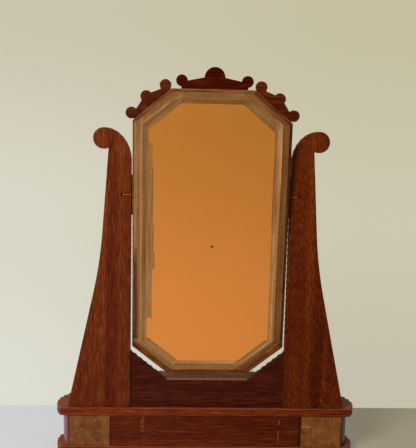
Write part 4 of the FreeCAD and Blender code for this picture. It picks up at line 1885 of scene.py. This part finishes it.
class Sizing(Graph):
    """The node tree of a geometry group, with named inputs."""

    def __init__(self, name: str) -> None:
        """Makes an empty group that takes and gives geometry.

        Args:
            name: The group's name.
        """
        self.group = bpy.data.node_groups.new(name, "GeometryNodeTree")
        super().__init__(self.group)
        sockets = self.group.interface
        for way in ("INPUT", "OUTPUT"):
            sockets.new_socket("Geometry", in_out=way, socket_type="NodeSocketGeometry")
        self._inputs = self.tree.nodes.new("NodeGroupInput")
        self._identifiers: dict[str, str] = {}

    def given(self, name: str, kind: str = "NodeSocketFloat") -> Field:
        """Adds a named input to the group.

        Args:
            name: The input's name.
            kind: The type of its socket.

        Returns:
            The input.
        """
        made = self.group.interface.new_socket(name, in_out="INPUT", socket_type=kind)
        self._identifiers[name] = made.identifier
        return Field(self, self._find(self._inputs.outputs, made.identifier))

    def geometry(self) -> Field:
        """The geometry that comes in."""
        return Field(self, self._inputs.outputs[0])

    def moved_up(self, part: Field, height: Operand) -> Field:
        """Geometry moved along z."""
        inputs = {"Geometry": part, "Translation": self.vector(0.0, 0.0, height)}
        return self.node("GeometryNodeTransform", None, inputs)

    def gather(self, *parts: Field) -> Field:
        """Joins geometry.

        Args:
            *parts: What to join.

        Returns:
            All of it.
        """
        joined = self.tree.nodes.new("GeometryNodeJoinGeometry")
        for part in parts:
            self.tree.links.new(part.socket, joined.inputs[0])
        return Field(self, joined.outputs[0])

    def finish(self, result: Field) -> None:
        """Links the geometry that goes out."""
        end = self.tree.nodes.new("NodeGroupOutput")
        self.tree.links.new(result.socket, end.inputs[0])

    def run(self, piece: bpy.types.Object, **values: object) -> bpy.types.Mesh:
        """Runs the group on a piece, and bakes the result into a plain mesh.

        Args:
            piece: The piece.
            **values: The group's inputs, with _ for each space in a name.

        Returns:
            The mesh.
        """
        modifier = piece.modifiers.new(self.group.name, "NODES")
        modifier.node_group = self.group
        for key, value in values.items():
            modifier[self._identifiers[key.replace("_", " ")]] = value
        return baked(piece)


@dataclass(frozen=True)
class Heads:
    """One set of small fasteners. Lengths in metres.

    Attributes:
        name: The piece's name.
        node: The CAD node whose solids it stands for.
        body: The body that carries it.
        facing: The direction that the heads look in.
        head_radius: The head's radius.
        head_height: The head's height.
        shank_radius: The shank's radius.
        slot_width: The width of the slot, which is below NO_SLOT on a plain head.
        finish: Its metal.
    """

    name: str
    node: str
    body: str
    facing: Vector
    head_radius: float = 3.6 * MM
    head_height: float = 1.6 * MM
    shank_radius: float = 1.6 * MM
    slot_width: float = 0.8 * MM
    finish: DullMetal = SCREW_STEEL

    NO_SLOT = 0.1 * MM

    def box(self) -> tuple[Vector, Vector]:
        """The lowest and highest corners of the CAD node."""
        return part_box(self.node)

    def tops(self) -> list[Vector]:
        """Where the tops of the heads are, from the CAD node's solids.

        Returns:
            The middle of each top.
        """
        low, high = self.box()
        axis = max(range(3), key=lambda number: abs(self.facing[number]))
        spots = island_middles(self.node)
        for spot in spots:
            spot[axis] = (high if self.facing[axis] > 0 else low)[axis]
        return spots

    def shank_length(self) -> float:
        """How far the shanks run on below the heads.

        Returns:
            The length.
        """
        low, high = self.box()
        length = max(abs((high - low).dot(self.facing)), self.head_height * 2)
        return length - self.head_height


class Fasteners:
    """Brads and screws, placed by one geometry tree."""

    ROUNDNESS, SHANK_ROUNDNESS = 32, 20
    SETS = (
        Heads(
            "back_panel_brad_heads", "back_panel_brads", "base", Vector((0, 1, 0)),
            head_radius=1.15 * MM, head_height=0.5 * MM, shank_radius=0.6 * MM, slot_width=0.0,
            finish=BRAD_STEEL,
        ),
        Heads("base_screw_heads", "base_screws", "base", Vector((0, 0, -1))),
        Heads("knob_screw_head", "knob_screw", "drawer", Vector((0, 1, 0))),
    )

    def __init__(self, finishes: Finishes) -> None:
        """Makes the tree.

        Args:
            finishes: Every material.
        """
        self.finishes = finishes
        self.tree = self._tree()

    @staticmethod
    def _head(
        tree: Sizing, radius: Field, height: Field, shank_radius: Field, slot: Field
    ) -> Field:
        """A countersunk head, with a slot where the slot's width asks for one.

        Args:
            tree: The geometry tree.
            radius: The head's radius.
            height: The head's height.
            shank_radius: The shank's radius.
            slot: The slot's width.

        Returns:
            The head.
        """
        radii = {"Radius Top": radius, "Radius Bottom": shank_radius}
        cone = {"Vertices": Fasteners.ROUNDNESS, **radii, "Depth": height}
        head = tree.node("GeometryNodeMeshCone", {"fill_type": "NGON"}, cone, "Mesh")
        size = tree.vector(radius * 3.0, slot, height)
        cutter = tree.node("GeometryNodeMeshCube", None, {"Size": size}, "Mesh")
        parts = {"Mesh 1": head, "Mesh 2": tree.moved_up(cutter, height)}
        slotted = tree.node("GeometryNodeMeshBoolean", {"operation": "DIFFERENCE"}, parts)
        choice = {"Switch": slot < Heads.NO_SLOT, "False": slotted, "True": head}
        return tree.node("GeometryNodeSwitch", {"input_type": "GEOMETRY"}, choice)

    def _tree(self) -> Sizing:
        """Builds the tree: a head on a shank at each point, each head turned its own way.

        Returns:
            The tree.
        """
        tree = Sizing("fastener_heads")
        radius, height = tree.given("Head Radius"), tree.given("Head Height")
        shank_radius, length = tree.given("Shank Radius"), tree.given("Length")
        slot, turn = tree.given("Slot Width"), tree.given("Turn", "NodeSocketVector")
        seed = tree.given("Seed", "NodeSocketInt")
        finish = tree.given("Finish", "NodeSocketMaterial")
        shank_size = {"Vertices": self.SHANK_ROUNDNESS, "Radius": shank_radius, "Depth": length}
        shank = tree.node("GeometryNodeMeshCylinder", {"fill_type": "NGON"}, shank_size, "Mesh")
        shank = tree.moved_up(shank, length * -0.5)
        both = tree.gather(shank, self._head(tree, radius, height, shank_radius, slot))
        chance = {"Max_001": math.tau, "Seed": seed}
        spin = tree.node("FunctionNodeRandomValue", {"data_type": "FLOAT"}, chance, "Value_001")
        about_z = {"Axis": (0.0, 0.0, 1.0), "Angle": spin}
        own = tree.node("FunctionNodeAxisAngleToRotation", None, about_z)
        facing = tree.node("FunctionNodeEulerToRotation", None, {0: turn})
        local = {"rotation_space": "LOCAL"}
        turned = tree.node("FunctionNodeRotateRotation", local, {0: facing, 1: own})
        placed = {"Points": tree.geometry(), "Instance": both, "Rotation": turned}
        instances = tree.node("GeometryNodeInstanceOnPoints", None, placed)
        real = tree.node("GeometryNodeRealizeInstances", None, {"Geometry": instances})
        dressed = {"Geometry": real, "Material": finish}
        tree.finish(tree.node("GeometryNodeSetMaterial", None, dressed))
        return tree

    def build(self) -> None:
        """Makes every set of fasteners."""
        for number, heads in enumerate(self.SETS):
            points = [spot - heads.facing * heads.head_height for spot in heads.tops()]
            piece = new_piece(heads.name, points, [])
            mesh = self.tree.run(
                piece,
                Head_Radius=heads.head_radius,
                Head_Height=heads.head_height,
                Shank_Radius=heads.shank_radius,
                Slot_Width=heads.slot_width,
                Length=heads.shank_length(),
                Turn=heads.facing.to_track_quat("Z", "Y").to_euler(),
                Seed=number,
                Finish=self.finishes.of(heads.finish),
            )
            mesh.name = heads.name
            put_on(piece, heads.body, heads.node)


# ---- Room and camera -----------------------------------------------------------------


@dataclass(frozen=True)
class Viewpoint:
    """The camera, behind the mirror and a little to one side.

    Attributes:
        place: Where it stands.
        turned: How it is turned about x, y and z, in degrees.
        lens: Its focal length in millimetres.
        sensor: The width of its picture in millimetres.
    """

    place: Vector = Vector((0.0366, 0.9550, 0.4392))
    turned: tuple[float, float, float] = (82.2282, -1.2385, 178.0090)
    lens: float = 54.64
    sensor: float = 36.0

    def build(self) -> None:
        """Makes the camera."""
        data = bpy.data.cameras.new("viewpoint")
        data.lens, data.sensor_width = self.lens, self.sensor
        camera = bpy.data.objects.new("viewpoint", data)
        bpy.context.scene.collection.objects.link(camera)
        turn = Euler([math.radians(angle) for angle in self.turned]).to_matrix()
        camera.matrix_world = Matrix.Translation(self.place) @ turn.to_4x4()
        bpy.context.scene.camera = camera


@dataclass
class Room:
    """The pale cloth under the mirror, the wall behind it and the light.

    Attributes:
        eye: Where the camera stands.
        cloth_end: Where the cloth gives way to the wall's colour.
        cloth_gain: How much of the cloth's colour takes light.
        cloth_glow: How strongly the rest of it lightens the mirror's shadow.
        wall_y: Where the wall stands.
        near_y: How far the floor comes forward.
        spread: How far the floor and the wall reach to each side.
        wall_height: The wall's height.
        key_place: Where the main light hangs.
        key_aim: What it points at.
        key_size: The width of its square.
        key_power: Its power in watts.
        key_colour: Its colour.
        world_level: How strong the light from all round is.
        world_colour: The colour of that light.
    """

    eye: Vector
    cloth_end: float = -0.088
    cloth_gain: float = 0.48
    cloth_glow: float = 0.425
    wall_y: float = -4.0
    near_y: float = 4.0
    spread: float = 6.0
    wall_height: float = 5.0
    key_place: Vector = Vector((1.5, 1.7, 1.7))
    key_aim: Vector = Vector((0, 0, 0.25))
    key_size: float = 0.9
    key_power: float = 73.0
    key_colour: Colour = (1.0, 0.97, 0.92)
    world_level: float = 0.28
    world_colour: Colour = (1.0, 0.985, 0.95)

    # The wall's colours at the top, middle and foot, each on the camera's right then left: painted
    # shade darkens it towards the right and towards the top.
    WALL_SHADES = (
        shades((198, 191, 162), (203, 197, 175)),
        shades((205, 199, 175), (217, 215, 198)),
        shades((197, 191, 171), (222, 222, 209)),
    )
    SIDES_SEEN, LEVELS_SEEN = (-0.28, 0.30), (-0.40, -0.13, 0.17)
    # The cloth's colours on the camera's right and left: painted shade darkens the right, where the
    # mirror's shadow falls.
    CLOTH_SHADES, CLOTH_SIDES = shades((172, 161, 135), (222, 224, 228)), (-0.28, 0.25)
    CLOTH_LEAST, CLOTH_CLOUDS = 0.97, 0.06

    def _wall_glow(self, graph: Shading) -> Field:
        """The wall, which gives off its own colour, with painted shade in a smooth fall from side
        to side.

        Args:
            graph: The material's graph.

        Returns:
            The shader.
        """
        away = self.eye.y - graph.y
        to_left = ((graph.x - self.eye.x) / away).rise(*self.SIDES_SEEN)
        above = (graph.z - self.eye.z) / away
        top, middle, low = (graph.mix(to_left, *pair) for pair in self.WALL_SHADES)
        foot_level, middle_level, top_level = self.LEVELS_SEEN
        lower_half = graph.mix(above.rise(foot_level, middle_level), low, middle)
        return graph.glow(graph.mix(above.rise(middle_level, top_level), lower_half, top))

    @staticmethod
    def _seen_only(graph: Shading, shader: Field, otherwise: Field) -> Field:
        """Shows a shader to the camera, in reflections and through glass, and another elsewhere.

        Args:
            graph: The material's graph.
            shader: What is seen.
            otherwise: What the light meets.

        Returns:
            The two together.
        """
        names = ("Is Camera Ray", "Is Glossy Ray", "Is Transmission Ray")
        camera, glossy, through = (graph.node("ShaderNodeLightPath", output=name) for name in names)
        return graph.blend(camera.at_least(glossy).at_least(through), otherwise, shader)

    def _cloth(self) -> bpy.types.Material:
        """Pale smooth cloth near the mirror, darker on the camera's right as painted shade, which
        fades into the wall's colour behind it.

        Returns:
            The material.
        """
        graph = Shading("backdrop_cloth")
        base = graph.mix(graph.x.rise(*self.CLOTH_SIDES), *self.CLOTH_SHADES)
        cloudy = graph.clouds(scale=3.0, detail=3.0)
        base = graph.times(base, self.CLOTH_LEAST + cloudy * self.CLOTH_CLOUDS)
        dress = {
            "Base Color": graph.times(base, self.cloth_gain),
            "Roughness": 0.9,
            "Emission Color": base,
            "Emission Strength": self.cloth_glow,
            "Normal": graph.relief(graph.clouds(scale=1500.0), 0.2 * MM, strength=0.3),
        }
        cloth = graph.node("ShaderNodeBsdfPrincipled", None, dress)
        beyond = graph.y.rise(self.cloth_end + 2 * MM, self.cloth_end - 2 * MM)
        wall = self._seen_only(graph, self._wall_glow(graph), cloth)
        return graph.close(graph.blend(beyond, cloth, wall))

    def _wall(self) -> bpy.types.Material:
        """The wall, which lights nothing and shades nothing.

        Returns:
            The material.
        """
        graph = Shading("backdrop_wall")
        clear = graph.node("ShaderNodeBsdfTransparent")
        return graph.close(self._seen_only(graph, self._wall_glow(graph), clear))

    def _sheet(self, name: str, finish: bpy.types.Material, *edges: tuple[float, float]) -> None:
        """Spreads the floor or the wall.

        Args:
            name: The sheet's name.
            finish: Its material.
            *edges: The y and z of its first edge and of its last.
        """
        first, last = edges
        left, right = -self.spread, self.spread
        corners = ((left, *first), (right, *first), (right, *last), (left, *last))
        sheet = new_piece(name, corners, [(0, 1, 2, 3)])
        sheet.data.materials.append(finish)

    def _light(self) -> None:
        """Hangs the main light and sets the light from all round."""
        light = bpy.data.lights.new("key", "AREA")
        light.size, light.energy, light.color = self.key_size, self.key_power, self.key_colour
        key = bpy.data.objects.new("key", light)
        bpy.context.scene.collection.objects.link(key)
        turn = (self.key_aim - self.key_place).to_track_quat("-Z", "Y").to_matrix().to_4x4()
        key.matrix_world = Matrix.Translation(self.key_place) @ turn
        world = bpy.data.worlds.new("soft_light")
        world.use_nodes = True
        background = world.node_tree.nodes["Background"].inputs
        background["Color"].default_value = (*self.world_colour, 1.0)
        background["Strength"].default_value = self.world_level
        bpy.context.scene.world = world

    def build(self) -> None:
        """Makes the floor, the wall and the lights."""
        top, foot = (self.wall_y, self.wall_height), (self.wall_y, 0.0)
        self._sheet("floor_cloth", self._cloth(), foot, (self.near_y, 0.0))
        self._sheet("backdrop_wall", self._wall(), top, foot)
        self._light()
        bpy.context.scene.view_settings.view_transform = "Standard"


def main() -> None:
    """Builds every piece, the room and the camera."""
    logging.basicConfig(level=logging.INFO, format="%(name)s: %(message)s")
    finishes, view, lean = Finishes(), Viewpoint(), Lean.of_hinge()
    view.build()
    Room(view.place).build()
    Base(finishes).build()
    Uprights(finishes).build()
    MirrorFrame(finishes, lean).build()
    GummedTape(finishes, lean, Octagon.of_frame(lean)).build()
    Drawer(finishes).build()
    Fasteners(finishes).build()


if __name__ == "__main__":
    main()
